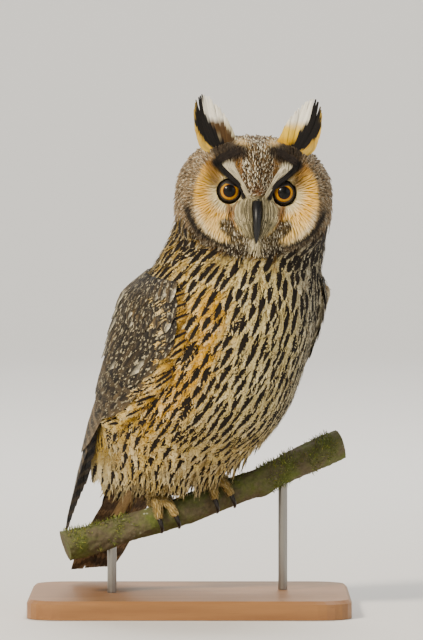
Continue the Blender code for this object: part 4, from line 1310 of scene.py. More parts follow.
def browStrands(side):
    shape = browLook["strandShape"]
    batches = []
    # black: over the top of the eye and down its inner side
    n = browLook["blackCount"]
    start = dice.uniform(0.0, 0.62, n)
    stop = np.minimum(start + dice.uniform(0.25, 0.38, n), 1)
    shift = dice.uniform(-1, 1, (n, 1)) * np.array([[0.7, -0.7]])

    def besideBlack(at):
        return onLine(faceLines["black"], at) + shift * (0.6 + 1.5 * at)[:, None]
    first, middle, last = besideBlack(start), besideBlack(0.5 * (start + stop)), besideBlack(stop)
    spots = curve(first, middle, last, 5)
    made = strands(side, spots, 0.6 + 1.6 * dice.random((n, 1)), 0.6, shape, depth=-37.2 + 0.05 * spots[..., 0])
    tint = np.broadcast_to(shades(faceColours["blackBrow"]), (n, 3)) * (1 + 0.8 * dice.random((n, 1)))
    batches.append(dress(made, tint[:, None], 0.0, 0.0))
    # brown-black: the loose upper brow under the tuft
    start = dice.uniform(0.0, 0.75, n)
    stop = np.minimum(start + dice.uniform(0.25, 0.4, n), 1)
    shift = dice.uniform(-1, 1, (n, 1)) * np.array([[0.8, 2.4]]) + np.array([[0.0, 1.2]])
    first, last = onLine(faceLines["smudge"], start) + shift, onLine(faceLines["smudge"], stop) + shift
    middle = onLine(faceLines["smudge"], 0.5 * (start + stop)) + shift + np.array([0.3, 0.8])
    lifts = 0.5 + np.array([[0.2, 0.9, 1.4, 1.5, 1.3]]) * dice.uniform(0.6, 1.3, (n, 1))
    made = strands(side, curve(first, middle, last, 5), lifts, 0.6, shape)
    tint = np.broadcast_to(shades(faceColours["brownBrow"]), (n, 3)) * (1 + 0.9 * dice.random((n, 1)))
    batches.append(dress(made, tint[:, None], 0.0, 0.0))
    # white: a fan that rises from the bill's root
    n = browLook["whiteCount"]
    start = dice.uniform(0.0, 0.6, n)
    stop = np.minimum(start + dice.uniform(0.36, 0.5, n), 1.04)
    away = np.array([0.76, -0.65])
    spread = dice.uniform(-1, 1, (n, 1))
    first = onLine(faceLines["brow"], start) + away * spread * (0.8 + 1.6 * start[:, None])
    last = onLine(faceLines["brow"], stop) + away * spread * (0.9 + 3.8 * np.clip(stop[:, None], 0, 1) ** 1.6)
    middle = 0.5 * (first + last) + np.array([-0.5, 0.4])
    lifts = 0.6 + np.linspace(0.2, 1.9, 6)[None, :] * dice.uniform(0.7, 1.2, (n, 1))
    made = strands(side, curve(first, middle, last, 6), lifts + 0.8, 0.62, shape)
    tint, _, _ = headTint(made["path"])
    tint = blendIn(tint, faceColours["brow"], np.full(tint.shape[:2], 0.8))
    tint = blendIn(tint, faceColours["browTip"], np.linspace(0, 0.9, 6)[None, :] * stop[:, None] ** 2)
    batches.append(dress(made, tint * (0.5 + 0.6 * dice.random((n, 1, 1)) ** 0.6), 0.0, 0.05))
    # bristles: down both sides of the bill, bowed outwards, meeting under its tip
    n = browLook["bristleCount"]
    k = dice.random(n) ** 0.8
    first = np.stack([3.6 + 11.0 * k, 2.0 - 3.5 * k - 9.0 * dice.random(n)], -1)
    fall = dice.uniform(0.7, 1.0, n)
    last = np.stack([1.6 + 11.0 * k**1.3, first[:, 1] + (-31.5 + 11.0 * k**1.5 - first[:, 1]) * fall], -1)
    bowed = np.maximum(first[:, 0], last[:, 0]) + 0.6 + 2.6 * k
    middle = np.stack([bowed, 0.5 * (first[:, 1] + last[:, 1])], -1)
    near = (1 - k)[:, None] ** 1.5
    rise = np.array([0.1, 0.5, 0.85, 1.0, 0.95, 0.8])[None, :]
    lifts = 0.3 + rise * (1.5 + 7.5 * near + 0.8 * dice.random((n, 1)))
    made = strands(side, curve(first, middle, last, 6), lifts, 0.42, shape, tilt=0.5)
    tint = np.broadcast_to(shades(faceColours["beard"]), (n, 6, 3)).copy()
    tint = blendIn(tint, faceColours["beardDark"], 0.8 * near**1.5 + 0 * rise)
    tint = blendIn(tint, faceColours["chin"], 0.75 * (dice.random((n, 1)) > 0.72) + 0 * rise)
    tint = blendIn(tint, faceColours["beardDark"], 0.8 * (dice.random((n, 1)) > 0.8) + 0 * rise)
    tint = blendIn(tint, faceColours["stripe"], 0.6 * (k[:, None] > 0.9) + 0 * rise)
    batches.append(dress(made, tint * (0.45 + 0.65 * dice.random((n, 1, 1))), 0.0, 0.1))
    # chin: short pale feathers under the bill
    n = browLook["chinCount"] // 2
    first = np.stack([dice.uniform(0, 3.2, n), dice.uniform(-33.0, -29.5, n)], -1)
    last = first + np.stack([dice.uniform(-0.2, 2.6, n), dice.uniform(-8.0, -5.0, n)], -1)
    lifts = np.array([[0.4, 1.4, 1.9, 1.7]])
    made = strands(side, curve(first, 0.5 * (first + last), last, 4), lifts, 0.5, shape)
    tint = np.broadcast_to(shades(faceColours["chin"]), (n, 4, 3))
    batches.append(dress(made, tint * (0.45 + 0.6 * dice.random((n, 1, 1))), 0.0, 0.3))
    return batches


say("head")
coatPiece("face_bristles", [faceTufts(), *browStrands(-1), *browStrands(1)], faceMaterial)
coatPiece("crown_tufts", [crownTufts()], faceMaterial)

# Eyes: a clear, domed ball, with its colour under the gloss

eyeLook = {
    "radius": 10.4, "depth": 26.5, "dome": 0.9, "pupil": 4.7, "iris": 7.3, "fibreMm": 0.353,
    "black": "050403", "gold": "C48E00", "orange": "A85400", "rimDark": "0C0805",
    # the lid's rim: how far out it runs, and how low its top is cut towards the bill
    "lidWide": 7.35, "lidTall": 7.3, "lidTop": 6.3, "lidDrop": 0.026, "lidThick": 0.5, "lid": "15100C",
    "wrinkleMm": 0.7143,
}


def makeEyeMaterial():
    # wet cornea over a pigmented iris: a mirror-like gloss above a fibrous orange ring and a black pupil
    material, tree, shader = newMaterial("eye_wet_cornea", {
        "Roughness": 0.5, "Specular IOR Level": 0.1,
        "Coat Weight": 1.0, "Coat Roughness": 0.03, "Coat IOR": 1.22,
    })
    ring = add(tree, "SeparateColor", {0: add(tree, "Attribute", attribute_name="iris").outputs["Color"]})
    fibres = add(tree, "TexNoise", {"Scale": 1.0, "Detail": 3.0}, noise_dimensions="3D")
    spin = add(tree, "CombineXYZ", {0: ring.outputs[1], 1: ring.outputs[2]})
    # a width of one stands for 12 mm, twice the distance from the middle to the iris's fibres
    fibre = (12.0 / eyeLook["fibreMm"],) * 3
    stretch = add(tree, "VectorMath", {0: spin.outputs[0], 1: fibre}, operation="MULTIPLY")
    tree.links.new(stretch.outputs[0], fibres.inputs["Vector"])
    wobble = add(tree, "Math", {0: fibres.outputs[0], 1: 0.035, 2: -0.0175}, operation="MULTIPLY_ADD")
    far = add(tree, "Math", {0: ring.outputs[0], 1: wobble.outputs[0]}, operation="ADD")
    ramp = add(tree, "ValToRGB", {0: far.outputs[0]})
    pupil, iris = eyeLook["pupil"] / 10, eyeLook["iris"] / 10  # the attribute's first value is in cm
    stops = (
        (pupil - 0.005, eyeLook["black"]), (pupil + 0.02, eyeLook["orange"]), (0.52, eyeLook["gold"]),
        (0.60, eyeLook["gold"]), (iris - 0.02, eyeLook["orange"]), (iris + 0.015, eyeLook["rimDark"]),
    )
    elements = ramp.color_ramp.elements
    elements[0].color, elements[1].color = rgba(eyeLook["black"]), rgba(eyeLook["rimDark"])
    for at, code in stops:
        elements.new(at).color = rgba(code)
    lift = add(tree, "Math", {0: fibres.outputs[0], 1: 0.5, 2: 0.55}, operation="MULTIPLY_ADD")
    both = {0: 1.0, 6: ramp.outputs[0], 7: lift.outputs[0]}
    shade = add(tree, "Mix", both, data_type="RGBA", blend_type="MULTIPLY")
    tree.links.new(shade.outputs[2], shader.inputs["Base Color"])
    return material


def makeEye(side, letter, material):
    radius = eyeLook["radius"]
    bm = bmesh.new()
    bmesh.ops.create_uvsphere(bm, u_segments=64, v_segments=48, radius=radius)
    gaze = inHead(0.02 * side, -1.0, 0.0) - inHead(0, 0, 0)
    turn = Vector((0, 0, 1)).rotation_difference(Vector(gaze)).to_matrix()
    centre = inHead(eyeAt[0] * side, -eyeLook["depth"], eyeAt[1])
    ringAt = []
    for v in bm.verts:
        out = math.hypot(v.co.x, v.co.y)
        spin = math.atan2(v.co.y, v.co.x)
        share = out / 10 if v.co.z > 0 else 2.0 - out / 10
        ringAt.append((share, 0.5 + 0.5 * math.cos(spin), 0.5 + 0.5 * math.sin(spin), 1.0))
        if v.co.z > 0:
            v.co.z += eyeLook["dome"] * max(0.0, 1 - (out / 8.0) ** 2)
        v.co = (Vector(centre) + turn @ v.co) * mm
    obj = objectFrom(f"eye_ball_{letter}", bm)
    storeColours(obj.data, "iris", ringAt)
    settle(obj, (f"eye_{letter}",), material)


def makeLid(side, letter, material):
    # bare dark rim, cut lower towards the bill by the brow
    centre = (eyeAt[0] * side, -eyeLook["depth"], eyeAt[1])
    count = 48
    turns = np.linspace(0, 2 * math.pi, count, endpoint=False)
    x, full = eyeLook["lidWide"] * np.cos(turns), eyeLook["lidTall"] * np.sin(turns)
    inward = -side * x
    z = np.minimum(full, eyeLook["lidTop"] - eyeLook["lidDrop"] * (inward + 5) ** 2 * (inward > -5))
    bm = bmesh.new()
    bmesh.ops.create_grid(bm, x_segments=count, y_segments=12, size=0.5)
    for v in bm.verts:
        k = round((v.co.x + 0.5) * count) % count
        b = (v.co.y + 0.5) * 2 * math.pi
        out = unit((x[k], z[k]))
        thick = eyeLook["lidThick"] + 0.35 * float(ease(2, 5, z[k]))
        # where it is cut lower, its upper side still reaches up to the eye's rim
        reach = thick * math.cos(b) + max(0.0, math.cos(b)) * (full[k] - z[k]) * 1.3
        right, up = x[k] + out[0] * reach, z[k] + out[1] * reach
        far = min(math.hypot(right, up), 7.6)
        front = math.sqrt(eyeLook["radius"] ** 2 - far**2) + eyeLook["dome"] * (1 - (far / 8.0) ** 2)
        back = centre[1] - front + thick * 1.1 * math.sin(b)
        v.co = Vector(inHead(centre[0] + right, back, centre[2] + up) * mm)
    bmesh.ops.remove_doubles(bm, verts=bm.verts, dist=1e-6)
    bmesh.ops.recalc_face_normals(bm, faces=bm.faces)
    settle(objectFrom(f"eye_lid_{letter}", bm), (), material)


def makeLidMaterial():
    # bare black eyelid skin: slightly moist, so a dull shine, and finely wrinkled
    values = {"Roughness": 0.5, "Base Color": rgba(eyeLook["lid"])}
    material, tree, shader = newMaterial("eyelid_bare_skin", values)
    place = add(tree, "TexCoord").outputs["Object"]
    wrinkles = add(tree, "TexNoise", {"Vector": place, "Scale": perMetre(eyeLook["wrinkleMm"]), "Detail": 3.0})
    height = add(tree, "Bump", {"Height": wrinkles.outputs[0], "Strength": 0.4, "Distance": 0.2 * mm})
    tree.links.new(height.outputs[0], shader.inputs["Normal"])
    return material


say("eyes")
eyeMaterial = makeEyeMaterial()
lidMaterial = makeLidMaterial()
for side, letter in ((-1, "right"), (1, "left")):
    makeEye(side, letter, eyeMaterial)
    makeLid(side, letter, lidMaterial)

# Bill: horn, hooked over a shorter lower half

billLook = {
    # places back and up on the head
    "upper": (
        (-36, 0), (-42, -2.4), (-47, -6.5), (-50.2, -12), (-51.6, -18), (-51.2, -24), (-49.4, -29.5),
        (-46.9, -34),
    ),
    "upperRadii": (3.2, 3.6, 3.7, 3.5, 3.1, 2.5, 1.6, 0.3),
    "lower": ((-37.0, -13.0), (-42.5, -18.5), (-45.6, -24.0), (-46.4, -28.5)),
    "lowerRadii": (2.3, 2.2, 1.7, 0.6), "lowerDeeper": 1.45,
    "dark": "08090A", "pale": "1B1C1E", "roughness": 0.4,
}
hornLook = {"mottleMm": 3.846, "bandMm": 1.099}


def hornMaterial(name, dark, pale, rough):
    # keratin horn, grown in thin layers: smooth, faintly banded, a soft gloss
    material, tree, shader = newMaterial(name, {"Roughness": rough, "IOR": 1.5, "Specular IOR Level": 0.35})
    place = add(tree, "TexCoord").outputs["Object"]
    flatter = hornLook["mottleMm"] / hornLook["bandMm"]
    squeeze = add(tree, "Mapping", {"Vector": place, "Scale": (1.0, 1.0, flatter)}).outputs[0]
    bands = add(tree, "TexNoise", {"Vector": squeeze, "Scale": perMetre(hornLook["mottleMm"]), "Detail": 4.0})
    mixed = add(tree, "Mix", {0: bands.outputs[0], 6: rgba(dark), 7: rgba(pale)}, data_type="RGBA")
    tree.links.new(mixed.outputs[2], shader.inputs["Base Color"])
    height = add(tree, "Bump", {"Height": bands.outputs[0], "Strength": 0.25, "Distance": 0.2 * mm})
    tree.links.new(height.outputs[0], shader.inputs["Normal"])
    return material


def smoothTube(name, path, radii, sides, up, squash=1.0):
    bm = loftRings(tubeRings(path, radii, sides, np.array(up, float), squash))
    obj = objectFrom(name, bm)
    finer = obj.modifiers.new("finer", "SUBSURF")
    finer.levels = finer.render_levels = 2
    applyModifiers(obj)
    obj.data.shade_smooth()
    return obj


def makeBill():
    material = hornMaterial("bill_keratin_dark", billLook["dark"], billLook["pale"], billLook["roughness"])
    halves = (("bill_top", "upper", 14, 1.0), ("bill_under", "lower", 12, billLook["lowerDeeper"]))
    for name, half, sides, deeper in halves:
        path = [inHead(0.0, y, z) for y, z in billLook[half]]
        obj = smoothTube(name, path, billLook[half + "Radii"], sides, headTurn[:, 0], deeper)
        settle(obj, (f"bill_{half}",), material)


say("bill")
makeBill()

# Ear tufts: long feathers fanned from the brow, black with pale inner webs

tuftLook = {
    "count": 76, "half": 1.55, "depth": -17.0,
    "tips": ((14.5, 41.0), (16.0, 44.0), (17.6, 48.0), (20.5, 55.0), (25.0, 63.0), (31.0, 69.6), (37.5, 75.4),
             (42.6, 77.6), (46.4, 74.0), (48.0, 67.0), (47.4, 58.0), (43.0, 47.5)),
    # where the black band starts and ends, by height
    "blackUp": (36, 41, 46, 51, 56, 62, 69, 76), "blackIn": (18, 23, 28, 31, 34.5, 38.8, 41.0, 41.8),
    "blackOut": (32.0, 38.2, 42.4, 45.2, 46.8, 47.5, 47.6, 46.8),
    "black": "0D0A08", "white": "F3EEE0", "cream": "DCCF9E", "edge": "D3B06C", "root": "B87C2E",
    "brown": "4F3A27", "yellow": "DDB866",
}


def tuftTint(side, spots):
    x, u = spots[..., 0], spots[..., 1]
    inner = np.interp(u, tuftLook["blackUp"], tuftLook["blackIn"])
    outer = np.interp(u, tuftLook["blackUp"], tuftLook["blackOut"])
    tint = np.broadcast_to(shades(tuftLook["white"]), (*x.shape, 3)).copy()
    low = ease(60, 54, u)
    if side < 0:
        tint = blendIn(tint, tuftLook["cream"], 0.6 * low)
        patch = ease(13.5, 11.0, np.abs(inner - x)) * ease(60, 56, u) * ease(6.5, 4.0, np.abs(x - inner + 5))
        tint = blendIn(tint, tuftLook["brown"], patch)
    else:
        tint = blendIn(tint, tuftLook["yellow"], low)
        tint = blendIn(tint, tuftLook["root"], 0.7 * ease(50, 42, u))
    tint = blendIn(tint, tuftLook["black"], ease(-0.7, 0.7, x - inner))
    tint = blendIn(tint, tuftLook["edge"], ease(-0.6, 0.6, x - outer) * ease(75, 70, u))
    past = x - outer
    share = 0.6 * ease(2.6, 0.4, past) * ease(0.0, 0.8, past) * ease(54, 46, u)
    return blendIn(tint, tuftLook["root"], share)


def tuftFeathers(side):
    count = tuftLook["count"]
    share = np.linspace(0, 1, count) + dice.normal(0, 0.01, count)
    share = np.clip(share, 0, 1)
    first = np.stack([13.5 + 19.5 * share, 34.5 - 2.0 * np.sin(np.pi * share)], -1)
    last = onLine(tuftLook["tips"], share) * (1 + dice.normal(0, 0.008, (count, 1)))
    # shorter feathers lie over the long ones' roots
    cut = np.where(np.arange(count) % 3 == 0, dice.uniform(0.6, 0.85, count), 1.0)[:, None]
    last = first + (last - first) * cut
    out = unit(np.stack([last[:, 1] - first[:, 1], first[:, 0] - last[:, 0]], -1))
    middle = 0.5 * (first + last) + out * (5.4 * ease(0.3, 1.0, share) - 0.8)[:, None] * cut
    spots = curve(first, middle, last, 10)
    x = np.linspace(0, 1, 10)[None, :]
    # cupped forwards at both edges
    cup = 5.0 * (2 * share - 1)[:, None] ** 2 * (0.4 + 0.6 * x)
    depth = tuftLook["depth"] - 3.0 + 3.5 * x**2 - cup
    layer = dice.uniform(0.0, 1.2, (count, 1)) + 1.2 * (1 - cut)
    made = strands(
        side, spots, layer, tuftLook["half"], (0.5, 0.9, 1.0, 1.0, 0.85, 0.3), depth=depth, thick=0.35,
        tilt=-0.2,
    )
    tint = tuftTint(side, spots) * (0.72 + 0.34 * dice.random((count, 1, 1)))
    return dress(made, np.clip(tint, 0, 1), 0.0, 0.04)


say("ear tufts")
for side, letter in ((-1, "right"), (1, "left")):
    batches = [tuftFeathers(side)]
    coatPiece(f"tuft_feathers_{letter}", batches, coatMaterial, (f"ear_tuft_{letter}",))

# Wings

wingColours = {
    "dark": "17110B", "brown": "33261A", "ochre": "4E3B24", "pale": "E3D8B8", "grey": "63543E", "tip": "120E0A",
    "web": "3C2E1C", "buff": "A98349",
}
wingLook = {
    "longShape": (0.5, 0.8, 0.95, 1.0, 1.0, 1.0, 0.95, 0.7, 0.25),
    "covertShape": (0.5, 0.85, 1.0, 1.0, 0.8, 0.28),
    # primaries, secondaries and tertials: how many, roots along and across, tips along and across,
    # half width, lifts, colours of web and edge, dark flecks, bars, pale flecks
    "long": (
        (8, 100, (0.20, 0.52), (264, 222), (0.15, 0.64), 7.0, (2.4, 2.2, 2.0), "dark", "tip", 0.3, 0.5, 0.15),
        (11, 88, (0.18, 0.90), (182, 210), (0.20, 0.92), 9.0, (4.0, 4.2, 4.0), "brown", "grey", 0.5, 0.5, 0.3),
        (5, 70, (0.62, 0.92), (158, 178), (0.61, 0.91), 9.5, (5.0, 6.4, 5.6), "brown", "grey", 0.7, 0.4, 0.45),
    ),
    # greater, median and lesser coverts, then scapulars: rows of roots along, then across from and to and
    # how many, tip from root, half width, lifts, colour, bars, pale flecks, share without a pale spot
    "short": (
        ((66,), (0.08, 0.9, 13), (56, 0.012), 7.4, (0.6, 3.0, 4.4), "web", 0.2, 0.4, 0.82),
        ((42, 52), (0.06, 0.92, 13), (32, 0.01), 6.0, (0.5, 2.6, 4.0), "web", 0.0, 0.6, 0.8),
        ((-4, 3, 10, 17, 24, 31, 37), (0.02, 0.94, 17), (19, 0.006), 4.4, (0.3, 1.8, 3.2), "web",
         0.0, 0.6, 0.9),
        ((-2, 12, 26, 40, 54), (0.56, 0.98, 6), (38, -0.03), 7.0, (0.8, 3.6, 5.2), "ochre", 0.0, 0.6, None),
    ),
}


def wingBlades(side, root, tip, half, lifts, shape, thick=0.45, camber=0.1, onCore=True):
    # root and tip are (along, across); lifts at root, middle and tip
    root, tip = np.asarray(root, float), np.asarray(tip, float)
    count = len(root)
    profile = np.asarray(shape)
    x = np.linspace(0, 1, len(profile))[None, :]
    along = root[:, :1] + (tip - root)[:, :1] * x
    across = root[:, 1:] + (tip - root)[:, 1:] * x
    lift = np.interp(x, (0, 0.5, 1), lifts) + 0 * along
    if onCore:
        lift = lift + wingCoreLift(along, across)
    path = onWing(along, across, side, lift)
    ahead = unit(np.gradient(path, axis=1))
    toBack = onWing(along, across + 0.02, side, lift) - path
    ups = unit(np.cross(toBack, ahead)) * (1.0 if side > 0 else -1.0)
    centre = section(np.interp(along, guideLengths, guideStations))[0]
    ups = ups * np.sign((ups * (path - centre)).sum(-1, keepdims=True))
    # each lies over the next one behind it
    ups = unit(ups - unit(toBack) * 0.12)
    widths = half * profile * np.ones((count, 1))
    rough = 1 + 0.05 * dice.standard_normal((2, count, len(profile)))
    made = blades(path, ups, widths * rough[0], widths * rough[1], thick, camber)
    made["root"] = path[:, 0]
    made["share"] = x + 0 * along
    return made


def staggered(starts, low, high, count, jitter=0.006):
    spots = []
    for n, along in enumerate(starts):
        for k in range(count):
            v = low + (high - low) * (k + 0.5 * (n % 2)) / count
            spots.append((along + dice.normal(0, 1.0), v + dice.normal(0, jitter)))
    return np.array(spots)


def paintWing(side, made, base, edge, fleck, bars, pale, spotted=None):
    # dark shaft and pale-edged webs; some carry a white or buff spot on the outer web
    n, count = made["path"].shape[:2]
    x = made["share"]
    column = np.broadcast_to(np.array([0.0, 1.0, 0.0, 1.0]), (n, count, 4))
    late = np.repeat(ease(0.5, 0.95, x)[..., None], 4, -1)
    bright = dice.uniform(0.7, 1.25, (n, 1, 1, 1))
    tint = np.broadcast_to(shades(wingColours[base]), (n, count, 4, 3)) * bright
    tint = blendIn(tint, wingColours["buff"], dice.random((n, 1, 1)) ** 3 * (1 - column) * 0.8)
    tint = blendIn(tint, wingColours[edge], (1 - column) * late * 0.75)
    tint = blendIn(tint, wingColours["dark"], column * 0.95)
    # painted shade: each feather darker towards its root, where the ones above lie over it
    tint = tint * (0.35 + 0.65 * np.repeat(ease(0.1, 0.6, x)[..., None], 4, -1))[..., None]
    # darker low down, where the wing turns away from the light
    tint = tint * (1 - 0.4 * ease(285, 225, made["path"][..., 2]))[..., None, None]
    light = pale * np.ones((n, count, 4))
    if spotted is not None:
        webs = np.zeros((n, count, 4))
        webs[:, :, 0 if side < 0 else 2] = 1.0
        webs = webs * np.repeat(bump(x - 0.74, 0.2)[..., None], 4, -1) * spotted[:, None, None]
        tint = blendIn(tint, wingColours["pale"], webs * 1.3)
        light = light * (1 - np.clip(webs, 0, 1))
    return dress(made, np.clip(tint, 0, 1), 0.0, fleck, bars, light)


def makeWing(side):
    batches = []
    for n, start, roots, ends, tips, half, lifts, base, edge, fleck, bars, pale in wingLook["long"]:
        root = np.stack([np.full(n, float(start)), np.linspace(*roots, n)], -1)
        tip = np.stack([np.linspace(*ends, n), np.linspace(*tips, n)], -1)
        made = wingBlades(side, root, tip, half, lifts, wingLook["longShape"], thick=0.6, onCore=False)
        batches.append(paintWing(side, made, base, edge, fleck, bars, pale))
    for starts, across, reach, half, lifts, base, bars, pale, plain in wingLook["short"]:
        root = staggered(starts, *across)
        made = wingBlades(side, root, root + np.array(reach), half, lifts, wingLook["covertShape"])
        # the scapulars' spots are on the row nearest the wing's outer side
        spotted = root[:, 1] < 0.72 if plain is None else dice.random(len(root)) > plain
        batches.append(paintWing(side, made, base, "grey", 0.6, bars, pale, spotted * 1.0))
    return batches


say("wings")
for side, letter in ((-1, "right"), (1, "left")):
    coatPiece(f"wing_feathers_{letter}", makeWing(side), wingMaterial, (f"wing_{letter}",))

# Tail

tailLook = {
    "root": (-42.0, 0.0, 34.0), "tip": (-125.0, 0.0, -64.0), "rootWide": 22.0, "tipWide": 40.0,
    "shape": (0.6, 0.85, 0.95, 1.0, 1.0, 1.0, 0.95, 0.75, 0.3), "vanes": 12, "half": 7.4, "vane": "55452F",
    "coverts": 110, "covertHalf": 4.4, "above": "6A553A", "below": "C4B07E",
}
tailRoot, tailTip = bird(tailLook["root"]), bird(tailLook["tip"])
tailUp = unit(np.cross(leftWay, tailTip - tailRoot))


def onTail(along, across, lift):
    along, across, lift = np.broadcast_arrays(along, across, lift)
    high = lift + 3.0 * np.sin(np.pi * along) - 0.004 * across**2
    spot = tailRoot + (tailTip - tailRoot) * along[..., None]
    return spot + leftWay * across[..., None] + tailUp * high[..., None]


def makeTail():
    # pairs of vanes from the middle outwards, each pair under the last
    shape = np.array(tailLook["shape"])
    x = np.linspace(0, 1, len(shape))[None, :]
    count = tailLook["vanes"]
    k = np.arange(count)
    side = np.where(k % 2, -1.0, 1.0)[:, None]
    row = (k // 2)[:, None]
    rootAt = side * (1.6 + tailLook["rootWide"] * 0.6 * row / 5)
    tipAt = side * (3.4 + (tailLook["tipWide"] / 2 - 4.0) * row / 5)
    end = 1.0 - 0.012 * row
    height = 1.4 - 1.35 * row + np.where(side > 0, 0.66, 0.0)
    along = 0.1 + (end - 0.1) * x
    across = rootAt + (tipAt - rootAt) * x
    path = onTail(along, across, height + 0 * x)
    half = tailLook["half"] * shape * np.ones((count, 1))
    made = blades(path, np.broadcast_to(tailUp, path.shape), half, half, 0.6, 0.08)
    made["root"] = path[:, 0]
    tint = shades(tailLook["vane"]) * np.ones((count, len(shape), 3)) * dice.uniform(0.8, 1.15, (count, 1, 1))
    return dress(made, tint, 0.0, 0.6, 0.7)


def tailCoverts():
    # short feathers above and below that cover the roots of the tail
    batches = []
    n = tailLook["coverts"]
    for face, colour in ((1, tailLook["above"]), (-1, tailLook["below"])):
        start = dice.uniform(-0.16, 0.3, n)
        across = dice.uniform(-1, 1, n) * (12 + 10 * start)
        x = np.linspace(0, 1, 7)[None, :]
        along = start[:, None] + 0.26 * x
        thick = 5.0 - 7.5 * along
        path = onTail(along, across[:, None] * (1 + 0.15 * x), face * (thick + 1.5 * x) - 1.5)
        half = tailLook["covertHalf"] * np.array(softShape["plume"]) * np.ones((n, 1))
        made = blades(path, np.broadcast_to(face * tailUp, path.shape), half, half, 0.4, 0.15)
        made["root"] = path[:, 0]
        tint = np.broadcast_to(shades(colour), (n, 7, 3))
        batches.append(dress(made, tint, 0.0, 0.5 if face > 0 else 0.2))
    return batches


say("tail")
coatPiece("tail_feathers", [makeTail(), *tailCoverts()], wingMaterial, ("tail",))

# Branch: an oak-like bough, weathered bark with moss and lichen

branchLook = {
    "radius": 11.0, "yaw": 14.0, "rise": 18.8, "top": 0.7, "bend": 0.0005, "ends": (-104.0, 124.0),
    "footSpread": 23.0, "rings": 300, "sides": 72,
    # weathered bark's patterns: broad green patches, fine grain, and lichen spots in patches
    "broadMm": 18.18, "fineMm": 2.381, "lichenMm": 5.882, "patchMm": 26.32,
    "crack": "2B2518", "ridge": "7C7256", "algaeDark": "333C17", "algae": "77813F", "lichen": "A9AE93",
}
branchYaw, branchRise = math.radians(branchLook["yaw"]), math.radians(branchLook["rise"])
levelRun = math.cos(branchRise)
alongWay = np.array([math.cos(branchYaw) * levelRun, math.sin(branchYaw) * levelRun, math.sin(branchRise)])
frontWay = unit(np.cross(alongWay, (0.0, 0.0, 1.0)))
overWay = np.cross(frontWay, alongWay)
branchMiddle = feet + np.array([0.0, 0.0, branchLook["top"]]) - overWay * branchLook["radius"]


def roundBranch(along, angle, lift):
    along, angle, lift = np.broadcast_arrays(*[np.asarray(v, float) for v in (along, angle, lift)])
    a = np.radians(angle)[..., None]
    out = overWay * np.cos(a) + frontWay * np.sin(a)
    bend = branchLook["bend"] * along[..., None] ** 2 * np.array([0.0, 0.0, 1.0])
    return branchMiddle + bend + alongWay * along[..., None] + out * (branchLook["radius"] + lift[..., None])


def knobs(along, angle):
    near = bump(np.abs(along) - branchLook["footSpread"], 22.0)
    knob = 0.7 * np.sin(3.0 * np.radians(angle) + along * 0.09) + 0.8 * np.sin(along * 0.06 + 1.3)
    knob = knob + 3.2 * bump(along - 56.0, 7.0) * bump(angle - 140.0, 50.0)
    return knob * (1 - 0.85 * near), near


def makeBranch():
    low, high = branchLook["ends"]
    sides = branchLook["sides"]
    bm = bmesh.new()
    bmesh.ops.create_cone(
        bm, cap_ends=True, cap_tris=False, segments=sides, radius1=1.0, radius2=1.0, depth=1.0
    )
    length = [e for e in bm.edges if abs(e.verts[0].co.z - e.verts[1].co.z) > 0.5]
    bmesh.ops.subdivide_edges(bm, edges=length, cuts=branchLook["rings"] - 1)
    spots = np.array([v.co for v in bm.verts])
    along = low + (high - low) * (spots[:, 2] + 0.5)
    angle = np.degrees(np.arctan2(spots[:, 1], spots[:, 0]))
    knob, near = knobs(along, angle % 360.0)
    rough = np.empty(len(spots))
    for i, (x, g) in enumerate(zip(along, np.radians(angle))):
        p = Vector((x * 0.075, 2.2 * math.cos(g), 2.2 * math.sin(g)))
        ridged = noise.ridged_multi_fractal(p, 0.9, 2.1, 4, 1.0, 2.0)
        lumps = noise.noise(Vector((x * 0.3, 4 * math.cos(g), 4 * math.sin(g))))
        rough[i] = 0.55 * (ridged - 1.2) + 0.5 * lumps
    lift = knob + rough * (1 - 0.6 * near) - 0.3
    for v, p in zip(bm.verts, roundBranch(along, angle, lift)):
        v.co = Vector(p * mm)
    bmesh.ops.recalc_face_normals(bm, faces=bm.faces)
    return objectFrom("branch_bark", bm, sharpDegrees=60)


def barkMaterial():
    # weathered bark: rough and dull, grey-brown ridges, with green algae and pale lichen
    material, tree, shader = newMaterial("bark_mossy_weathered", {"Roughness": 0.9, "Specular IOR Level": 0.3})
    place = add(tree, "TexCoord").outputs["Object"]

    def pattern(size, **values):
        values.update(Vector=place, Scale=perMetre(branchLook[size]))
        return add(tree, "TexNoise", values).outputs[0]

    def colours(share, low, high):
        return add(tree, "Mix", {0: share, 6: low, 7: high}, data_type="RGBA").outputs[2]

    def steep(value, slope, start):
        values = {0: value, 1: slope, 2: start}
        return add(tree, "Math", values, operation="MULTIPLY_ADD", use_clamp=True).outputs[0]

    broad = pattern("broadMm", Detail=5.0, Roughness=0.65)
    fine = pattern("fineMm", Detail=6.0, Roughness=0.7)
    cells = {"Vector": place, "Scale": perMetre(branchLook["lichenMm"])}
    spots = add(tree, "TexVoronoi", cells, feature="F1").outputs[0]
    patchy = pattern("patchMm", Detail=2.0)
    bark = colours(fine, rgba(branchLook["crack"]), rgba(branchLook["ridge"]))
    green = colours(fine, rgba(branchLook["algaeDark"]), rgba(branchLook["algae"]))
    mixed = colours(steep(broad, 5.0, -2.1), bark, green)
    both = {0: steep(spots, -7.0, 1.6), 1: steep(patchy, 9.0, -4.9)}
    lichenAt = add(tree, "Math", both, operation="MULTIPLY").outputs[0]
    last = colours(lichenAt, mixed, rgba(branchLook["lichen"]))
    tree.links.new(last, shader.inputs["Base Color"])
    height = add(tree, "Bump", {"Height": fine, "Strength": 0.9, "Distance": 0.8 * mm})
    tree.links.new(height.outputs[0], shader.inputs["Normal"])
    return material


mossLook = {
    "spacingMm": 1.25, "length": (1.6, 3.4), "half": 0.34, "dark": "424A20", "pale": "A0A55A", "dry": "8D7A45",
}


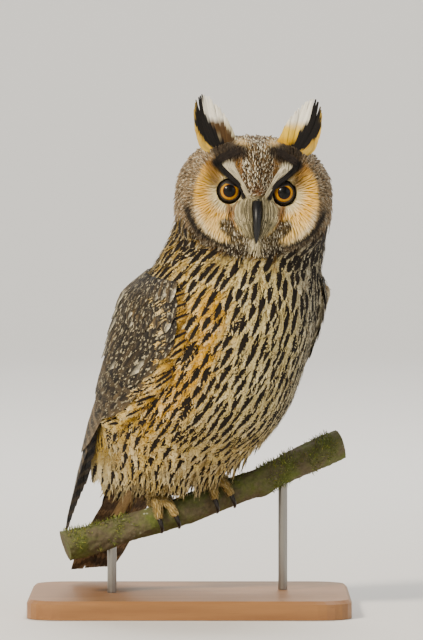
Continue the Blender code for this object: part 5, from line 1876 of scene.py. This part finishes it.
def mossTufts():
    # small leafy stems in cushions on the branch's upper side, clear of the toes
    ground = readSurface(branch)

    def keep(points):
        along = (points - branchMiddle) @ alongWay
        out = unit(points - branchMiddle - along[:, None] * alongWay)
        cushion = [noise.noise(Vector(p * 0.045)) + 0.35 * noise.noise(Vector(p * 0.16)) for p in points]
        ends = ease(branchLook["ends"][0] + 1, branchLook["ends"][0] + 5, along)
        ends = ends * ease(branchLook["ends"][1] - 1, branchLook["ends"][1] - 5, along)
        toes = bump(np.abs(along) - branchLook["footSpread"], 19.0)
        share = np.array(cushion) + 0.35 * (out @ overWay) - 1.2 * toes - 2 * (1 - ends)
        return share > dice.uniform(0.02, 0.2, len(points))

    roots = scatter(ground, mossLook["spacingMm"], keep)
    count = len(roots)
    _, out = onSurface(roots, ground)
    length = dice.uniform(*mossLook["length"], (count, 1))
    lean = unit(dice.standard_normal((count, 3)) + np.array([0.3, 0.0, 0.4]))
    x = np.linspace(0, 1, 4)[None, :, None]
    path = roots[:, None] + (out * length)[:, None] * x * 0.75 + (lean * length)[:, None] * 0.6 * x**2
    side = unit(np.cross(out, lean))
    half = mossLook["half"] * np.array([[0.8, 1.0, 0.8, 0.15]]) * np.ones((count, 1))
    made = blades(path, unit(np.cross(side, out))[:, None] + 0 * path, half, half, 0.3, 0.3)
    made["root"] = roots
    tint = np.broadcast_to(shades(mossLook["dark"]), (count, 4, 3)).copy()
    tint = blendIn(tint, mossLook["pale"], dice.uniform(0.1, 1.0, (count, 1)) * x[..., 0])
    tint = blendIn(tint, mossLook["dry"], 0.7 * (dice.random((count, 1)) > 0.8) * x[..., 0])
    return dress(made, tint, 0.0, 0.0)


say("branch")
branch = makeBranch()
settle(branch, ("perch_branch",), barkMaterial())
mossMaterial = featherMaterial("moss_stems_soft", {**coatLook, "sheen": 0.1, "swing": 0.5, "barbMm": 0.5})
coatPiece("branch_moss", [mossTufts()], mossMaterial)

# Feet and claws

footLook = {
    "spread": 23.0, "voxelMm": 0.9, "sinkMm": 0.9, "tuftMm": 1.25,
    "toes": ((-7.0, 6.0, 84.0), (6.0, 6.0, 90.0), (12.0, -4.0, -62.0), (-5.0, -8.0, -80.0)),
    "buff": "BFA06A", "pale": "E2D2AE", "clawDark": "100D0B", "clawPale": "2B2622",
}


def makeFoot(side, letter, clawMaterial):
    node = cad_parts[f"foot_{letter}"]
    bm = bmesh.new()
    bm.from_mesh(node.data)
    bmesh.ops.remove_doubles(bm, verts=bm.verts, dist=1e-6)
    shape = evenSurface(
        f"foot_skin_{letter}", bm, footLook["voxelMm"], 4, lambda spots: np.full(len(spots), footLook["sinkMm"])
    )
    ground = readSurface(shape)
    # the lie: down the shank, then along each toe
    middle = footLook["spread"] * side
    guides, ways = [], []
    ankle = roundBranch(middle, -6.0, 16.0)
    high = bird((-2.0, 22.0 * side, 50.0))
    for x in np.linspace(0, 1.1, 12):
        guides.append(high + (ankle - high) * x)
        ways.append(ankle - high)
    for spread, start, end in footLook["toes"]:
        x = np.linspace(0, 1, 10)
        line = roundBranch(middle + spread * (0.35 + 0.65 * x), start + (end - start) * x, 4.0)
        for p, q in zip(line, np.gradient(line, axis=0)):
            guides.append(p)
            ways.append(q)
    tree = KDTree(len(guides))
    for n, p in enumerate(guides):
        tree.insert(p, n)
    tree.balance()
    ways = unit(np.array(ways))
    roots = scatter(ground, footLook["tuftMm"], lambda p: np.ones(len(p), bool))
    count = len(roots)
    flow = ways[[tree.find(p)[1] for p in roots]] + 0.15 * dice.standard_normal((count, 3))
    tall = ease(96, 112, roots[:, 2])
    length = dice.uniform(3.6, 5.6, count) * (1 + 0.9 * tall)
    loft = dice.uniform(0.2, 1.0, count)
    lifts = (-0.1, 0.5 + 0.6 * loft, 0.8 + loft + 0.5 * tall)
    made = lay(roots, flow, length, 0.5, lifts, shape="bristle", ground=ground, thick=0.25)
    tint = np.broadcast_to(shades(footLook["buff"]), (count, 3)).copy()
    tint = blendIn(tint, footLook["pale"], 0.5 * dice.random(count))
    # painted shade and light: each tuft darker at its root, where the others lie over it, a little lighter at
    # its tip, and randomly lighter or darker
    fade = np.linspace(0.5, 1.08, made["path"].shape[1])[None, :, None]
    shade = fade * dice.uniform(0.75, 1.1, (count, 1, 1))
    tufts = dress(made, np.clip(tint[:, None, :] * shade, 0, 1), 0.0, 0.3)
    coatPiece(f"foot_tufts_{letter}", [tufts], coatMaterial, (f"foot_{letter}",))
    # painted shade: the skin under the tufts is darker, so that it reads as the shade between them
    storeColours(shape.data, "tint", shades(footLook["buff"]) * 0.7)
    storeColours(shape.data, "mark", (0, 0.2, 0))
    storeColours(shape.data, "blade", (0, 0, 0))
    settle(shape, (f"foot_{letter}",), coatMaterial)
    for k, (spread, start, end) in enumerate(footLook["toes"]):
        x = np.linspace(0, 1, 9)
        angle = end + math.copysign(64.0, end) * (x - 0.04)
        lift = 3.4 + 3.2 * np.sin(math.pi * np.minimum(x * 1.05, 1.0)) - 2.4 * x
        path = roundBranch(middle + spread * (1.0 + 0.12 * x), angle, lift)
        claw = smoothTube(f"claw_horn_{letter}_{k + 1}", path, 0.3 + 1.9 * (1 - x) ** 0.75, 10, alongWay)
        settle(claw, (f"claw_{letter}_{k + 1}",), clawMaterial)


say("feet")
clawMaterial = hornMaterial("claw_keratin_black", footLook["clawDark"], footLook["clawPale"], 0.3)
for side, letter in ((-1, "right"), (1, "left")):
    makeFoot(side, letter, clawMaterial)

# Stand: an oiled beech board and two brushed steel rods

# patterns along and across the board, and round and along the rods; the rods' real grinding
# lines are finer, and are drawn a quarter of a millimetre apart so that they show
standLook = {
    "wood": ("7A5230", "A97A4A"), "pore": "4A2F1B", "grainMm": (111.1, 9.091), "poreMm": (25.0, 1.111),
    "steel": "9A9893", "lineMm": (16.67, 0.25),
}


def grainNoise(tree, scales, detail):
    place = add(tree, "TexCoord").outputs["Object"]
    stretch = add(tree, "Mapping", {"Vector": place, "Scale": scales}).outputs[0]
    return add(tree, "TexNoise", {"Vector": stretch, "Scale": 1.0, "Detail": detail}).outputs[0]


def woodMaterial():
    # planed, oiled beech: long fine grain with short dark pores, and a low sheen from the oil
    material, tree, shader = newMaterial("beech_oiled", {"Roughness": 0.42, "Specular IOR Level": 0.4})
    (grainRun, grainWide), (poreRun, poreWide) = standLook["grainMm"], standLook["poreMm"]
    warp = grainNoise(tree, (perMetre(grainRun), perMetre(grainWide), perMetre(grainWide)), 4.0)
    pores = grainNoise(tree, (perMetre(poreRun), perMetre(poreWide), perMetre(poreWide)), 3.0)
    woods = [rgba(code) for code in standLook["wood"]]
    tones = add(tree, "Mix", {0: warp, 6: woods[0], 7: woods[1]}, data_type="RGBA").outputs[2]
    dark = add(tree, "Math", {0: pores, 1: 4.0, 2: -2.3}, operation="MULTIPLY_ADD", use_clamp=True)
    soft = add(tree, "Math", {0: dark.outputs[0], 1: 0.35}, operation="MULTIPLY").outputs[0]
    last = add(tree, "Mix", {0: soft, 6: tones, 7: rgba(standLook["pore"])}, data_type="RGBA")
    tree.links.new(last.outputs[2], shader.inputs["Base Color"])
    height = add(tree, "Bump", {"Height": pores, "Strength": 0.2, "Distance": 0.15 * mm})
    tree.links.new(height.outputs[0], shader.inputs["Normal"])
    return material


def steelMaterial():
    # ground steel rod: fine rings from the wheel, a clean metal gloss
    material, tree, shader = newMaterial("steel_brushed", {
        "Metallic": 1.0, "Roughness": 0.34, "Base Color": rgba(standLook["steel"]),
    })
    around, apart = standLook["lineMm"]
    lines = grainNoise(tree, (perMetre(around), perMetre(around), perMetre(apart)), 2.0)
    height = add(tree, "Bump", {"Height": lines, "Strength": 0.12, "Distance": 0.05 * mm})
    tree.links.new(height.outputs[0], shader.inputs["Normal"])
    return material


say("stand")
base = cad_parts["stand_base"]
base.data.materials.clear()
base.data.materials.append(woodMaterial())
steel = steelMaterial()
for name in ("stand_rod_1", "stand_rod_2"):
    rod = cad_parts[name]
    rod.data.materials.clear()
    rod.data.materials.append(steel)

# Studio: a pale seamless floor that curves up all round, soft light, and the camera

studio = {
    "floor": "E9E6E0", "floorRadius": 9.0, "floorHeight": 6.0,
    "aim": (16.6, -20.0, 221.8), "distance": 4.5, "elevation": 1.5, "viewHeight": 486.4,
    "sky": "F2F1EE", "skyStrength": 0.33,
}


def makeStudio():
    bm = bmesh.new()
    low = bmesh.ops.create_vert(bm, co=(0, 0, -0.0003))["vert"][0]
    outline = [low]
    wide, tall = studio["floorRadius"], studio["floorHeight"]
    for k in range(17):
        a = math.radians(90 * k / 16)
        v = bmesh.ops.create_vert(bm, co=(wide - 3.0 + 3.0 * math.sin(a), 0, 3.0 - 3.0 * math.cos(a) - 0.0003))
        outline.append(v["vert"][0])
    outline.append(bmesh.ops.create_vert(bm, co=(wide, 0, tall))["vert"][0])
    edges = [bm.edges.new(pair) for pair in zip(outline, outline[1:])]
    bmesh.ops.spin(
        bm, geom=outline + edges, cent=(0, 0, 0), axis=(0, 0, 1), angle=2 * math.pi, steps=72, use_merge=True
    )
    bmesh.ops.remove_doubles(bm, verts=bm.verts, dist=1e-5)
    bmesh.ops.recalc_face_normals(bm, faces=bm.faces)
    floor = objectFrom("studio_floor", bm)
    # seamless paper: matte, so that the floor runs into the backdrop without a shine
    material, _, _ = newMaterial("paper_matte", {"Roughness": 0.9, "Base Color": rgba(studio["floor"])})
    floor.data.materials.append(material)


def softLight(name, place, size, watts, colour="FFFFFF", aim=studio["aim"]):
    light = bpy.data.lights.new(name, "AREA")
    light.shape = "DISK"
    light.size = size
    light.energy = watts
    light.color = shades(colour)
    obj = linked(name, light)
    obj.location = place
    obj.rotation_euler = (Vector(aim) * mm - Vector(place)).to_track_quat("-Z", "Y").to_euler()


def makeCamera():
    data = bpy.data.cameras.new("camera")
    data.sensor_fit = "VERTICAL"
    data.sensor_height = 36.0
    data.lens = 36.0 * studio["distance"] / (studio["viewHeight"] * mm)
    data.clip_end = 60.0
    camera = linked("camera", data)
    aim = Vector(studio["aim"]) * mm
    rise = math.radians(studio["elevation"])
    camera.location = aim + Vector((0, -math.cos(rise), math.sin(rise))) * studio["distance"]
    camera.rotation_euler = (aim - camera.location).to_track_quat("-Z", "Y").to_euler()
    bpy.context.scene.camera = camera


say("studio")
makeStudio()
softLight("key", (-1.9, -2.6, 2.4), 0.8, 210.0, "FFF3E2")
softLight("fill", (2.8, -2.4, 1.2), 2.4, 24.0, "EEF3FF")
softLight("top", (0.3, 1.8, 3.0), 1.6, 90.0)
softLight("backdrop", (0.0, 3.0, 5.0), 3.0, 330.0, aim=(0.0, 9000.0, 1500.0))
world = bpy.data.worlds.new("studio")
bpy.context.scene.world = world
world.use_nodes = True
sky = world.node_tree.nodes["Background"]
sky.inputs[0].default_value = rgba(studio["sky"])
sky.inputs[1].default_value = studio["skyStrength"]
makeCamera()
